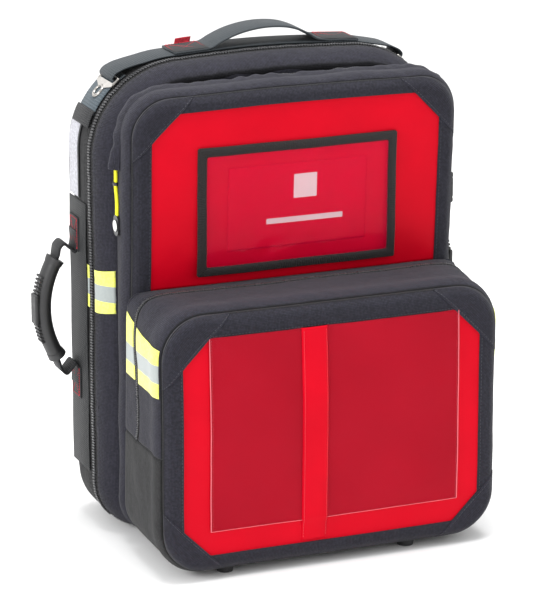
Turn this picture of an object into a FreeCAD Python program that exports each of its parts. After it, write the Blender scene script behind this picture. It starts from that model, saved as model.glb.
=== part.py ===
import FreeCAD, Part
import math
import os

V = FreeCAD.Vector

# Frame: X across the pack, Y from the front (-) to the wearer's back (+), Z up.
# The origin is the middle of the base panel's underside. Millimetres.

# Main compartment: a rear shell and a front lid, parted at the main zipper.
shellHalfWidth = 194.0
shellLow = 3.0
shellHigh = 503.0
shellTopRadius = 92.0
shellBottomRadius = 50.0
partingY = -38.0
shellBackY = 36.0
lidFrontY = -75.0
lidFrontHalfWidth = 177.0
lidFrontLow = 14.0
lidFrontHigh = 492.0
wall = 3.0
tapeWidth = 4.0
gap = 0.4

# Front compartment, full height, leaning forward at the top.
frontHalfWidth = 182.0
frontLow = 10.0
frontHigh = 489.0
frontTopRadius = 42.0
frontBottomRadius = 42.0
frontPlaneY = -124.6
frontPlaneZ = 300.0
frontLean = 0.054
frontZipY = -94.0
frontFoldZ = 438.0
frontGarageZ = 413.0

# Lower pocket, standing on the lower half of the front compartment.
lowerHalfWidth = 188.0
lowerLow = 8.0
lowerHigh = 285.0
lowerRadius = 47.0
lowerFrontY = -230.0
lowerZipY = -157.0
lowerFoldZ = 135.0

# Coloured panels.
upperRedHalfWidth = 161.0
upperRedLow = 290.0
upperRedHigh = 471.7
lowerRedHalfWidth = 166.0
lowerRedLow = 27.0
lowerRedHigh = 260.0
chamfer = 29.0
skin = 0.8
windowLow = 53.0
windowHigh = 260.0
stripLeft = -37.0
stripRight = -7.5
windowLeftEdge = -137.0
windowRightEdge = 141.0
cardHalfWidth = 111.6
cardLow = 295.5
cardHigh = 433.5
cardBorder = 9.5

# Reflective bands.
bandLow = 245.0
bandHigh = 291.0
lowerBandLow = 200.0
lowerBandHigh = 250.0

# Webbing, handles and hooks.
webWidth = 40.0
webThick = 1.6
topWebY = -7.0
handleLeftX = -56.0
handleRightX = 72.0
handleTopZ = 532.0
handleFootZ = 519.0
sideHandleX = -197.0
sideHandleY = 12.0
gripMidX = -234.3
gripMidZ = 237.0
hookAngle = 37.0
mainSliderZ = 90.0
strapX = 77.0
stripFrontY = -20.0
stripBackY = 27.0
labelFrontY = -5.0
labelBackY = 25.0
labelLow = 360.0

os.makedirs("parts", exist_ok=True)


def save(name, shape):
    shape.exportStep("parts/" + name + ".step")


def group(shapes):
    return Part.makeCompound(shapes)


def box(x0, x1, y0, y1, z0, z1):
    return Part.makeBox(x1 - x0, y1 - y0, z1 - z0, V(x0, y0, z0))


def arcEdge(centre, radius, fromDeg, toDeg, y):
    def at(deg):
        angle = math.radians(deg)
        return V(centre[0] + radius * math.cos(angle), y, centre[1] + radius * math.sin(angle))

    middle = (fromDeg + toDeg) / 2
    return Part.Arc(at(fromDeg), at(middle), at(toDeg)).toShape()


def lineEdge(a, b, y):
    return Part.LineSegment(V(a[0], y, a[1]), V(b[0], y, b[1])).toShape()


def outline(halfWidth, low, high, topRadius, bottomRadius, y):
    # a rounded rectangle in the plane of constant y, anticlockwise from the lower left
    right = halfWidth
    left = -halfWidth
    t = topRadius
    b = bottomRadius
    edges = [
        lineEdge((left + b, low), (right - b, low), y),
        arcEdge((right - b, low + b), b, -90, 0, y),
        lineEdge((right, low + b), (right, high - t), y),
        arcEdge((right - t, high - t), t, 0, 90, y),
        lineEdge((right - t, high), (left + t, high), y),
        arcEdge((left + t, high - t), t, 90, 180, y),
        lineEdge((left, high - t), (left, low + b), y),
        arcEdge((left + b, low + b), b, 180, 270, y),
    ]
    return Part.Wire(edges)


def grown(halfWidth, low, high, topRadius, bottomRadius, by):
    return (halfWidth + by, low - by, high + by, topRadius + by, bottomRadius + by)


def slab(sizes, y0, y1):
    face = Part.Face(outline(*sizes, y0))
    return face.extrude(V(0, y1 - y0, 0))


def ring(sizes, y0, y1, outer=0.0, inner=-wall):
    solid = slab(grown(*sizes, outer), y0, y1)
    return solid.cut(slab(grown(*sizes, inner), y0 - 1, y1 + 1))


def sideBox(sign, out, thickness, y0, y1, z0, z1):
    # a flat piece lying on the left (-1) or right (1) side of the shell
    lo, hi = sorted((sign * (shellHalfWidth + out), sign * (shellHalfWidth + out + thickness)))
    return box(lo, hi, y0, y1, z0, z1)


def polygonXZ(points, y0, y1):
    wire = Part.makePolygon([V(x, y0, z) for x, z in points + points[:1]])
    return Part.Face(wire).extrude(V(0, y1 - y0, 0))


def polygonYZ(points, x0, x1):
    wire = Part.makePolygon([V(x0, y, z) for y, z in points + points[:1]])
    return Part.Face(wire).extrude(V(x1 - x0, 0, 0))


def octagon(halfWidth, low, high, cutLow, cutHigh):
    w = halfWidth
    points = [(-w + cutLow, low), (w - cutLow, low), (w, low + cutLow), (w, high - cutHigh)]
    points += [(w - cutHigh, high), (-w + cutHigh, high), (-w, high - cutHigh), (-w, low + cutLow)]
    return [p for i, p in enumerate(points) if p != points[i - 1]]


def frontY(z):
    # the leaning front plane of the front compartment
    return frontPlaneY - frontLean * (z - frontPlaneZ)


def leaningSlab(depth0, depth1):
    # everything between two planes parallel to the leaning front, depths measured inwards
    zs = (-20.0, 560.0)
    points = [(frontY(zs[0]) + depth0, zs[0]), (frontY(zs[1]) + depth0, zs[1])]
    points += [(frontY(zs[1]) + depth1, zs[1]), (frontY(zs[0]) + depth1, zs[0])]
    return polygonYZ(points, -260, 260)


shellSizes = (shellHalfWidth, shellLow, shellHigh, shellTopRadius, shellBottomRadius)
lidFrontSizes = (lidFrontHalfWidth, lidFrontLow, lidFrontHigh, 75.0, 40.0)
frontSizes = (frontHalfWidth, frontLow, frontHigh, frontTopRadius, frontBottomRadius)
lowerSizes = (lowerHalfWidth, lowerLow, lowerHigh, lowerRadius, lowerRadius)
leftSide = box(-260, -100, -300, 200, -10, 600)
rightSide = box(100, 260, -300, 200, -10, 600)


# ---------------------------------------------------------------- rear shell
def buildRearShell():
    gussetFront = partingY + tapeWidth
    save("rear_shell_gusset", ring(shellSizes, gussetFront, shellBackY))
    save("main_zipper_shell_side", ring(shellSizes, partingY + gap / 2, gussetFront, outer=0.6, inner=-2.2))
    save("back_panel", slab(grown(*shellSizes, -2.0), shellBackY, shellBackY + 3))
    frame = slab(grown(*shellSizes, -12.0), shellBackY - 3, shellBackY - 1.5)
    save("frame_sheet", frame)
    stays = [box(x - 10, x + 10, shellBackY - 6, shellBackY - 3, 40, 470) for x in (-70, 70)]
    save("frame_stays", group(stays))
    save("base_panel", box(-140, 140, partingY + 4, shellBackY, 0, shellLow))
    boardLow = shellLow + wall
    save("base_board", box(-138, 138, partingY + 6, shellBackY - 7, boardLow, boardLow + 2.5))
    save("inner_divider", box(-190.8, 190.8, partingY + 8, shellBackY - 7, 246, 252))
    back = shellBackY + 3
    pads = [box(-135, -20, back, back + 16, 165, 432), box(20, 135, back, back + 16, 165, 432)]
    pads.append(box(-104, 104, back, back + 15, 48, 140))
    save("back_pads", group([pad.makeFillet(7, pad.Edges) for pad in pads]))
    save("strap_yoke", box(-125, 125, back, back + 4, 440, 482))


def buildRearTrim():
    band = ring(shellSizes, partingY + 9, shellBackY - 1, outer=skin, inner=0)
    trim = band.common(box(-260, 260, -300, 200, bandLow, bandHigh)).Solids
    webSlab = ring(shellSizes, topWebY - webWidth / 2, topWebY + webWidth / 2, outer=webThick, inner=0)
    topReach = shellHalfWidth - shellTopRadius + shellTopRadius * math.sin(math.radians(hookAngle - 4))
    hookTop = shellHigh - shellTopRadius + shellTopRadius * math.cos(math.radians(hookAngle + 4))
    cornerLow = shellHigh - shellTopRadius + 30
    strips = []
    patches = []
    for side, sign in ((leftSide, -1), (rightSide, 1)):
        strip = webSlab.common(side)
        strips.append(strip.common(box(-260, 260, -100, 100, cornerLow, hookTop)))
        label = ring(shellSizes, labelFrontY, labelBackY, outer=webThick, inner=0).common(side)
        trim.append(label.common(box(-260, 260, -100, 100, labelLow, cornerLow - 0.5)))
        long = sideBox(sign, skin + 0.2, webThick, stripFrontY, stripBackY, 60, 356)
        for z0, z1 in ((300, 337), (136, 171)):
            patches.append(sideBox(sign, skin + 0.2, 2.2, sideHandleY - 10, sideHandleY + 10, z0, z1))
            long = long.cut(box(-260, 260, sideHandleY - 10 - gap, sideHandleY + 10 + gap, z0 - gap, z1 + gap))
        strips.append(long)
    save("rear_reflective_trim", group(trim))
    save("side_webbing", group(strips))
    top = shellHigh + webThick
    for x0, x1 in ((handleLeftX - 40, handleLeftX), (handleRightX, handleRightX + 40)):
        patches.append(box(x0, x1, topWebY - webWidth / 2 + 1, topWebY + webWidth / 2 - 1, top, top + 1.6))
    save("stitched_patches", group(patches))
    loop = Part.makeCylinder(4.0, 36, V(0, -18, 0), V(0, 1, 0))
    loop = onCorner(loop.cut(Part.makeCylinder(2.5, 40, V(0, -20, 0), V(0, 1, 0))))
    across = webSlab.common(box(-topReach, topReach, -100, 100, 480, 520))
    save("top_webbing", group([across, loop, loop.mirror(V(0, 0, 0), V(1, 0, 0))]))


# ---------------------------------------------------------------- lid
def lidSolid(by):
    front = outline(*grown(*lidFrontSizes, by), lidFrontY)
    back = outline(*grown(*shellSizes, by), partingY - tapeWidth)
    return Part.makeLoft([front, back], True, True)


def buildLid():
    body = lidSolid(0)
    save("lid_gusset", body.cut(lidSolid(-wall)))
    save("main_zipper_lid_side", ring(shellSizes, partingY - tapeWidth, partingY - gap / 2, outer=0.6, inner=-2.2))
    save("lid_panel", slab(lidFrontSizes, lidFrontY - 2, lidFrontY))
    band = lidSolid(skin).cut(lidSolid(0)).common(box(-260, 260, lidFrontY + 3, partingY - 8, bandLow, bandHigh))
    low = ring(lowerSizes, lowerZipY + 6, -126, outer=skin, inner=0)
    low = low.common(box(-260, 260, -300, 0, lowerBandLow, lowerBandHigh))
    save("lid_reflective_bands", group(band.Solids + low.Solids))


def buildFrontCompartment():
    back = lidFrontY - 2
    save("front_gusset_rear", ring(frontSizes, frontZipY + 2, back))
    body = slab(frontSizes, -160, frontZipY - gap)
    inner = slab(grown(*frontSizes, -wall), -170, frontZipY + 5)
    forward = leaningSlab(2.5, 80)
    tube = body.cut(inner).common(forward)
    foldBelow = box(-260, 260, -300, 0, -20, frontFoldZ - gap)
    foldAbove = box(-260, 260, -300, 0, frontFoldZ + gap, 600)
    save("front_gusset", tube.common(foldBelow))
    save("front_flap_gusset", tube.common(foldAbove))
    panel = slab(frontSizes, -160, 0).common(leaningSlab(0, 2.5))
    save("front_panel", panel.common(foldBelow))
    save("front_flap_panel", panel.common(foldAbove))
    tape = ring(frontSizes, frontZipY, frontZipY + 2, outer=0.5, inner=-2).common(
        box(-260, 260, -300, 0, frontGarageZ, 600)
    )
    lowerTape = ring(lowerSizes, lowerZipY, lowerZipY + 2, outer=0.5, inner=-2.4)
    lowerTape = lowerTape.common(box(-260, 260, -300, 0, lowerFoldZ, 600))
    save("pocket_zipper_tapes", group([tape, lowerTape]))
    stormFlap = ring(frontSizes, frontZipY, frontZipY + 9, outer=2.6, inner=0.8)
    cover = [stormFlap.common(box(-260, 260, -300, 0, frontGarageZ + 26, 600))]
    for sign in (-1, 1):
        x = sign * (frontHalfWidth + 0.8)
        lo, hi = sorted((x, x + sign * 7))
        for y in (frontZipY - 8, frontZipY + 8.8):
            cover.append(box(lo, hi, y, y + 1.2, frontGarageZ, frontGarageZ + 21.5))
    save("front_storm_flap", group(cover))


def buildUpperPanel():
    shape = polygonXZ(octagon(upperRedHalfWidth, upperRedLow, upperRedHigh, 0, chamfer), -160, 0)
    save("upper_red_panel", shape.common(leaningSlab(-skin, 0)))
    outer = box(-cardHalfWidth, cardHalfWidth, -160, 0, cardLow, cardHigh)
    inner = box(
        -cardHalfWidth + cardBorder, cardHalfWidth - cardBorder, -160, 0, cardLow + cardBorder, cardHigh - cardBorder
    )
    save("id_window_binding", outer.cut(inner).common(leaningSlab(-skin - 1.6, -skin)))
    save("id_window", inner.common(leaningSlab(-skin - 1.5, -skin - 0.9)))
    card = box(-78, 78, -160, 0, cardLow + 24, cardHigh - 24)
    save("id_card", card.common(leaningSlab(-skin - 0.8, -skin - 0.1)))


# ---------------------------------------------------------------- lower pocket
def buildLowerPocket():
    front = lowerFrontY + 2.5
    behind = leaningSlab(-160, -0.3)
    above = box(-260, 260, -300, 0, lowerFoldZ + gap, 600)
    below = box(-260, 260, -300, 0, -20, lowerFoldZ - gap)
    tube = ring(lowerSizes, front, -90)
    save("lower_tub", tube.common(below).common(behind))
    save("lower_gusset_rear", tube.common(box(-260, 260, lowerZipY + 2, 0, lowerFoldZ, 600)).common(behind))
    save("lower_flap_gusset", tube.common(above).common(box(-260, 260, -300, lowerZipY - gap, 0, 600)))
    panel = slab(lowerSizes, lowerFrontY, front)
    save("lower_front_panel", panel.common(below))
    save("lower_flap_panel", panel.common(above))
    face = lowerFrontY
    points = octagon(lowerRedHalfWidth, lowerRedLow, lowerRedHigh, chamfer, chamfer)
    strip = box(stripLeft, stripRight, face - skin - 1.2, face - skin, lowerRedLow + 4, lowerRedHigh)
    save("lower_red_panel", polygonXZ(points, face - skin, face).fuse(strip))
    face = lowerFrontY - skin
    left = box(windowLeftEdge, stripLeft, face - 0.7, face, windowLow, windowHigh)
    right = box(stripRight, windowRightEdge, face - 0.7, face, windowLow, windowHigh)
    save("clear_windows", group([left, right]))
    bands = ring(lowerSizes, lowerFrontY + 5, lowerZipY - 5, outer=skin, inner=0)
    bands = bands.common(box(-260, 260, -300, 0, lowerBandLow, lowerBandHigh))
    save("flap_reflective_bands", group(bands.Solids))
    feet = []
    for x in (-113, 93):
        foot = Part.makeCone(8.5, 10, lowerLow, V(x, lowerFrontY + 22, 0), V(0, 0, 1))
        feet.append(foot)
    save("front_feet", group(feet))


# ---------------------------------------------------------------- handles
def buildTopHandle():
    # a semi-elliptical webbing arch; the part that bends at its stitched feet is left open
    centre = (handleLeftX + handleRightX) / 2
    halfSpan = (handleRightX - handleLeftX) / 2
    rise = handleTopZ - shellHigh

    def ellipseSlab(a, b):
        ellipse = Part.Ellipse(V(centre, 0, shellHigh), a, b)
        ellipse.Axis = V(0, -1, 0)
        ellipse.XAxis = V(1, 0, 0)
        return Part.Face(Part.Wire([ellipse.toShape()])).extrude(V(0, webWidth, 0))

    arch = ellipseSlab(halfSpan, rise).cut(ellipseSlab(halfSpan - 3.2, rise - 2.6))
    arch.translate(V(0, topWebY - webWidth / 2, 0))
    save("top_handle", arch.common(box(-200, 200, -100, 100, handleFootZ, 560)))


def gripArc():
    # the grip's centre line: an arc bowed outwards, from its upper end to its lower end
    halfLength = 54.0
    bow = 15.0
    radius = (halfLength**2 + bow**2) / (2 * bow)
    centre = (gripMidX + radius, gripMidZ)
    half = math.degrees(math.asin(halfLength / radius))
    return radius, centre, half


def gripPoint(deg, out=0.0):
    radius, centre, half = gripArc()
    angle = math.radians(180 - deg)
    return V(
        centre[0] + (radius + out) * math.cos(angle), sideHandleY, centre[1] + (radius + out) * math.sin(angle)
    )


def gripSection(deg, radial, across):
    point = gripPoint(deg)
    angle = math.radians(180 - deg)
    outwards = V(math.cos(angle), 0, math.sin(angle))
    ellipse = Part.Ellipse(point, max(radial, across), min(radial, across))
    ellipse.Axis = outwards.cross(V(0, 1, 0))
    ellipse.XAxis = V(0, 1, 0)
    return Part.Wire([ellipse.toShape()])


def gripBlock(deg, out, radialSize, along, across):
    block = box(-radialSize / 2, radialSize / 2, -across / 2, across / 2, -along / 2, along / 2)
    block.rotate(V(0, 0, 0), V(0, 1, 0), deg)
    point = gripPoint(deg, out)
    block.translate(point)
    return block


def buildGrip():
    radius, centre, half = gripArc()
    steps = 8
    sections = []
    for i in range(steps + 1):
        deg = -half + 2 * half * i / steps
        sections.append(gripSection(deg, 8.5, 12.5))
    grip = Part.makeLoft(sections, True, False)
    for sign in (-1, 1):
        collar = Part.makeLoft(
            [gripSection(sign * half, 10.0, 14.0), gripSection(sign * (half - 3.4), 9.0, 13.0)], True, True
        )
        grip = grip.fuse(collar)
        for k in range(5):
            grip = grip.fuse(gripBlock(sign * (9.6 + 2.2 * k), 8.2, 3.0, 2.2, 16.0))
    boss = gripBlock(0, 8.4, 5.0, 34.0, 17.0)
    boss = boss.makeFillet(2.2, boss.Edges)
    grip = grip.fuse(boss)
    return grip


def thickLine(points, thickness, y0, y1):
    # a strip that follows straight runs in the XZ plane, rounded at each bend
    pieces = []
    for a, b in zip(points, points[1:]):
        dx = b[0] - a[0]
        dz = b[1] - a[1]
        length = math.hypot(dx, dz)
        nx = -dz / length * thickness / 2
        nz = dx / length * thickness / 2
        corners = [(a[0] + nx, a[1] + nz), (b[0] + nx, b[1] + nz), (b[0] - nx, b[1] - nz), (a[0] - nx, a[1] - nz)]
        pieces.append(polygonXZ(corners, y0, y1))
    for p in points[1:-1]:
        pieces.append(Part.makeCylinder(thickness / 2, y1 - y0, V(p[0], y0, p[1]), V(0, 1, 0)))
    return pieces[0].fuse(pieces[1:]).removeSplitter()


def buildSideHandles():
    radius, centre, half = gripArc()
    route = [(sideHandleX - 6, gripMidZ + 66), (-209, gripMidZ + 70), (-215, gripMidZ + 70.5), (-218.5, gripMidZ + 64)]
    inside = [gripPoint(half - 2 * half * i / 8) for i in range(9)]
    route += [(p.x, p.z) for p in inside]
    route += [(-218.5, gripMidZ - 64), (-215.5, gripMidZ - 72), (-209, gripMidZ - 71), (sideHandleX - 6, gripMidZ - 68)]
    web = thickLine(route, 3.0, sideHandleY - 8, sideHandleY + 8)
    grip = buildGrip().cut(web)
    mirror = V(1, 0, 0)
    save("side_grip_left", grip)
    save("side_handle_webbing_left", web)
    save("side_grip_right", grip.mirror(V(0, 0, 0), mirror))
    save("side_handle_webbing_right", web.mirror(V(0, 0, 0), mirror))


def onCorner(shape):
    # turns a flat piece (built lying along -X from the bar, facing +Z) to lie on the shell's upper left corner
    centreX = -shellHalfWidth + shellTopRadius
    centreZ = shellHigh - shellTopRadius
    rise = shellTopRadius + 4.6
    angle = math.radians(hookAngle)
    placed = shape.copy()
    placed.rotate(V(0, 0, 0), V(0, 1, 0), -hookAngle - 8)
    placed.translate(V(centreX - rise * math.sin(angle), topWebY, centreZ + rise * math.cos(angle)))
    return placed


def buildHooks():
    wire = 1.9
    bar = Part.makeCylinder(wire, 2 * 21, V(0, -21, 0), V(0, 1, 0))
    frame = bar
    for y in (-21, 21):
        frame = frame.fuse(Part.makeCylinder(wire, 8, V(0, y, 0), V(-1, 0, 0)))
        frame = frame.fuse(Part.makeSphere(wire, V(0, y, 0)))
    outlinePoints = [(-6.5, -22.5), (-6.5, 22.5), (-10.5, 22.5), (-16, 7), (-16, -7), (-10.5, -22.5)]
    plateWire = Part.makePolygon([V(x, y, -1.3) for x, y in outlinePoints + outlinePoints[:1]])
    frame = frame.fuse(Part.Face(plateWire).extrude(V(0, 0, 2.6)))
    eye = Part.makeCylinder(4.9, 10, V(-20.5, 0, -5), V(0, 0, 1))
    frame = frame.fuse(Part.makeTorus(6.6, wire, V(-20.5, 0, 0), V(0, 0, 1))).cut(eye)
    hook = onCorner(frame)
    save("strap_hook_left", hook)
    save("strap_hook_right", hook.mirror(V(0, 0, 0), V(1, 0, 0)))


# ---------------------------------------------------------------- zipper sliders
def sliderSolid(x, y, z, sign):
    # a slider body with its bail, standing out from the side at x, and travelling along Z
    lo, hi = sorted((x, x + sign * 3.2))
    body = box(lo, hi, y - 4.5, y + 4.5, z - 6, z + 6)
    body = body.makeFillet(1.2, [e for e in body.Edges if abs(e.Length - 3.2) < 0.01])
    return body


def plainPull(x, y, z, sign):
    # a flat metal tab hanging from the slider
    lo, hi = sorted((x, x + sign * 2.0))
    tab = box(lo, hi, y - 3.5, y + 3.5, z - 26, z)
    hole = Part.makeCylinder(1.6, 20, V(x - 10, y, z - 3.4), V(1, 0, 0))
    return tab.cut(hole)


def buildSliders():
    x = shellHalfWidth + 1.3
    save("main_slider", sliderSolid(x, partingY, mainSliderZ, 1))
    save("main_pull", plainPull(x + 3.5, partingY, mainSliderZ + 3, 1))
    x = lowerHalfWidth + 1.1
    save("lower_slider", sliderSolid(x, lowerZipY + 1, lowerFoldZ + 30, 1))
    save("lower_pull", plainPull(x + 3.5, lowerZipY + 1, lowerFoldZ + 33, 1))
    x = frontHalfWidth + 0.9
    for name, sign in (("left", -1), ("right", 1)):
        save("front_slider_" + name, sliderSolid(sign * x, frontZipY + 1, frontGarageZ + 7, sign))


# The two cord strands of the left pull hang from the slider down to the tab, in the plane x = pullX.
pullX = -(frontHalfWidth + 5.0)
pullTopZ = 411.3
strandDiameter = 2.8
strandRoutes = {
    "front": [(-94.6, 411.3), (-95.6, 402.0), (-93.9, 392.0), (-96.9, 381.5), (-98.3, 371.0), (-97.0, 361.5)],
    "rear": [(-91.4, 411.3), (-92.3, 402.5), (-90.7, 392.5), (-93.5, 382.0), (-94.9, 371.0), (-93.7, 361.5)],
}


def roundedTube(points, diameter):
    edges = []
    last = points[0]
    radii = []
    for a, b, c in zip(points, points[1:], points[2:]):
        u = (a - b).normalize()
        w = (c - b).normalize()
        turn = math.pi - u.getAngle(w)
        shorter = min((a - b).Length, (c - b).Length)
        cutBack = 0.45 * shorter
        radii.append(cutBack / math.tan(turn / 2))
        start = b + u * cutBack
        end = b + w * cutBack
        middleDir = (u + w).normalize()
        toCentre = math.hypot(radii[-1], cutBack)
        middle = b + middleDir * (toCentre - radii[-1])
        edges.append(Part.LineSegment(last, start).toShape())
        edges.append(Part.Arc(start, middle, end).toShape())
        last = end
    edges.append(Part.LineSegment(last, points[-1]).toShape())
    path = Part.Wire(edges)
    direction = points[1] - points[0]
    profile = Part.Wire([Part.Circle(points[0], direction, diameter / 2).toShape()])
    tube = path.makePipeShell([profile], True, False)
    expected = math.pi * diameter**2 / 4 * path.Length
    print("strand radii", [round(r, 1) for r in radii], "length", round(path.Length, 1))
    print("strand volume", round(tube.Volume, 1), "expected", round(expected, 1))
    return tube


def buildPulls():
    for name, route in strandRoutes.items():
        save("pull_strand_" + name, roundedTube([V(pullX, y, z) for y, z in route], strandDiameter))
    tab = box(pullX - 1.6, pullX + 1.6, -102, -89, 340, 361.4)
    tab = tab.makeFillet(5.0, [e for e in tab.Edges if abs(e.Length - 3.2) < 0.01])
    disc = Part.makeCylinder(6.2, 0.9, V(pullX - 1.6, -95.4, 350.5), V(-1, 0, 0))
    save("pull_tab", tab.fuse(disc))
    x = frontHalfWidth + 3.6
    y = frontZipY + 1
    stem = box(x, x + 3.4, y - 2.4, y + 2.4, 371, pullTopZ)
    body = box(x - 0.2, x + 10.0, y - 6.0, y + 6.0, 338, 372)
    body = body.makeFillet(2.4, body.Edges)
    puller = stem.fuse(body)
    for z in (344, 366):
        puller = puller.cut(box(x + 8.6, x + 12, y - 8, y + 8, z - 1.1, z + 1.1))
    save("moulded_puller", puller)


# ---------------------------------------------------------------- shoulder straps
def curveFace(points, thickness, x):
    # a strip of even thickness following a smooth curve in the plane of constant x
    curve = Part.BSplineCurve()
    curve.interpolate([V(x, y, z) for y, z in points])
    outer = []
    inner = []
    count = 12
    for i in range(count + 1):
        t = curve.FirstParameter + (curve.LastParameter - curve.FirstParameter) * i / count
        p = curve.value(t)
        tangent = curve.tangent(t)[0]
        normal = tangent.cross(V(1, 0, 0)).normalize()
        outer.append(p + normal * thickness / 2)
        inner.append(p - normal * thickness / 2)
    outerCurve = Part.BSplineCurve()
    outerCurve.interpolate(outer)
    innerCurve = Part.BSplineCurve()
    innerCurve.interpolate(inner[::-1])
    edges = [outerCurve.toShape(), Part.LineSegment(outer[-1], inner[-1]).toShape()]
    edges += [innerCurve.toShape(), Part.LineSegment(inner[0], outer[0]).toShape()]
    return Part.Face(Part.Wire(edges))


def strut(a, b, width, thickness):
    # a flat webbing run between two points, its width lying across the pack
    length = (b - a).Length
    piece = Part.makeBox(width, thickness, length, V(-width / 2, -thickness / 2, 0))
    piece.Placement = FreeCAD.Placement(a, FreeCAD.Rotation(V(0, 0, 1), b - a))
    return piece


def buildStraps():
    back = shellBackY + 3
    padRoute = [(back + 22, 452), (back + 35, 458), (back + 52, 438), (back + 61, 385), (back + 60, 315)]
    padRoute += [(back + 50, 245), (back + 38, 188)]
    locks = []
    for name, sign in (("left", -1), ("right", 1)):
        x = sign * strapX
        pad = curveFace(padRoute, 11, x - 31.5).extrude(V(63, 0, 0))
        save("shoulder_pad_" + name, pad)
        lower = strut(V(x, back + 40, 196), V(sign * 150, back + 12, 84), 25, 1.8)
        upper = strut(V(x, back + 7.5, 470), V(x, back + 26, 455), 25, 1.8)
        save("shoulder_webbing_" + name, group([lower.cut(pad), upper.cut(pad)]))
        lock = Part.makeBox(34, 5, 26, V(-17, -2.5, 0)).cut(Part.makeBox(26, 8, 4, V(-13, -4, 4)))
        lock = lock.cut(Part.makeBox(26, 8, 4, V(-13, -4, 17)))
        lock.rotate(V(0, 0, 0), V(0, 1, 0), -sign * 30)
        lock.translate(V(sign * 165, back + 3.2, 56))
        locks.append(lock)
    save("ladder_locks", group(locks))


def main():
    buildRearShell()
    buildRearTrim()
    buildLid()
    buildFrontCompartment()
    buildUpperPanel()
    buildLowerPocket()
    buildTopHandle()
    buildSideHandles()
    buildHooks()
    buildSliders()
    buildPulls()
    buildStraps()


main()
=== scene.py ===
import bmesh
import bpy
import math
import numpy as np
from mathutils import Matrix, Vector


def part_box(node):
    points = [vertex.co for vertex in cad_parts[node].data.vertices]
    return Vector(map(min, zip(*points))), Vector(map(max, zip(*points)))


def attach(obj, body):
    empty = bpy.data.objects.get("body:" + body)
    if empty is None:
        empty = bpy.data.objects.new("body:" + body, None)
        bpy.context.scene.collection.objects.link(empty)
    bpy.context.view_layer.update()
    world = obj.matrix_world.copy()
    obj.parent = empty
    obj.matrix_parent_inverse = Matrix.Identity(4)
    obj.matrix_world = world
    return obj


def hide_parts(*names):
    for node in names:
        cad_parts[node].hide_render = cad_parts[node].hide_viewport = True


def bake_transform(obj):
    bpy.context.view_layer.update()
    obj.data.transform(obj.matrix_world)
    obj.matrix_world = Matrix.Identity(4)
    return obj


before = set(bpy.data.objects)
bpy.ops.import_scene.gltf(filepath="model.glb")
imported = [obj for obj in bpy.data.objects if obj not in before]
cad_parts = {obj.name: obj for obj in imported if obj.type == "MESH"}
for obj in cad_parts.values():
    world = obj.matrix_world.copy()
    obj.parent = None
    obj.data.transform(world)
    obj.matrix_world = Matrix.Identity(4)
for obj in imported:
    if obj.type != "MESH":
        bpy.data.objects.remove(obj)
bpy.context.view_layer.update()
mm = 0.001

# ---- camera, light and floor
view = {"azimuth": -22.137, "elevation": 16.408, "distance": 3430.689, "target": (0.0, -80.0, 250.0),
        "right": -12.5, "up": -4.5, "lens": 192.9, "sensor": 36.0}


def addCamera():
    a = math.radians(view["azimuth"])
    e = math.radians(view["elevation"])
    back = Vector((math.sin(a) * math.cos(e), -math.cos(a) * math.cos(e), math.sin(e)))
    right = Vector((math.cos(a), math.sin(a), 0))
    up = back.cross(right)
    place = Vector(view["target"]) + back * view["distance"] + right * view["right"] + up * view["up"]
    data = bpy.data.cameras.new("camera")
    data.lens = view["lens"]
    data.sensor_width = view["sensor"]
    data.sensor_fit = "AUTO"
    data.clip_end = 50
    camera = bpy.data.objects.new("camera", data)
    turn = Matrix((right, up, back)).transposed().to_4x4()
    camera.matrix_world = Matrix.Translation(place * mm) @ turn
    bpy.context.scene.collection.objects.link(camera)
    bpy.context.scene.camera = camera


def addAreaLight(name, place, aim, size, power):
    data = bpy.data.lights.new(name, "AREA")
    data.shape = "DISK"
    data.size = size
    data.energy = power
    light = bpy.data.objects.new(name, data)
    light.location = place
    light.rotation_euler = (Vector(aim) - Vector(place)).to_track_quat("-Z", "Y").to_euler()
    bpy.context.scene.collection.objects.link(light)


def addRoom():
    world = bpy.data.worlds.new("studio")
    bpy.context.scene.world = world
    world.use_nodes = True
    sky = world.node_tree.nodes["Background"]
    sky.inputs["Color"].default_value = (1, 1, 1, 1)
    sky.inputs["Strength"].default_value = 0.92
    addAreaLight("key", (-2.9, -0.7, 1.7), (0, -0.1, 0.28), 1.5, 56)
    addAreaLight("fill", (2.3, -1.9, 1.2), (0, -0.1, 0.25), 1.8, 10)
    addAreaLight("top", (0.1, -0.1, 2.6), (0, -0.05, 0.3), 1.6, 60)
    addAreaLight("behind", (-1.2, 2.4, 1.6), (0, 0, 0.3), 1.8, 12)
    r = 6.0
    mesh = bpy.data.meshes.new("studio_floor")
    mesh.from_pydata([(-r, -r, 0), (r, -r, 0), (r, r, 0), (-r, r, 0)], [], [(0, 1, 2, 3)])
    floor = bpy.data.objects.new("studio_floor", mesh)
    bpy.context.scene.collection.objects.link(floor)
    mesh.materials.append(newMaterial("pale_floor", (0.93, 0.93, 0.93), 0.75)[0])
    bpy.context.scene.view_settings.view_transform = "Standard"


# ---- materials
def newMaterial(name, colour, roughness, metallic=0.0):
    material = bpy.data.materials.new(name)
    material.use_nodes = True
    shader = material.node_tree.nodes["Principled BSDF"]
    shader.inputs["Base Color"].default_value = (*colour, 1)
    shader.inputs["Roughness"].default_value = roughness
    shader.inputs["Metallic"].default_value = metallic
    return material, material.node_tree, shader


def addNode(tree, kind, **values):
    node = tree.nodes.new(kind)
    for key, value in values.items():
        if hasattr(node, key):
            setattr(node, key, value)
        else:
            node.inputs[key].default_value = value
    return node


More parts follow.
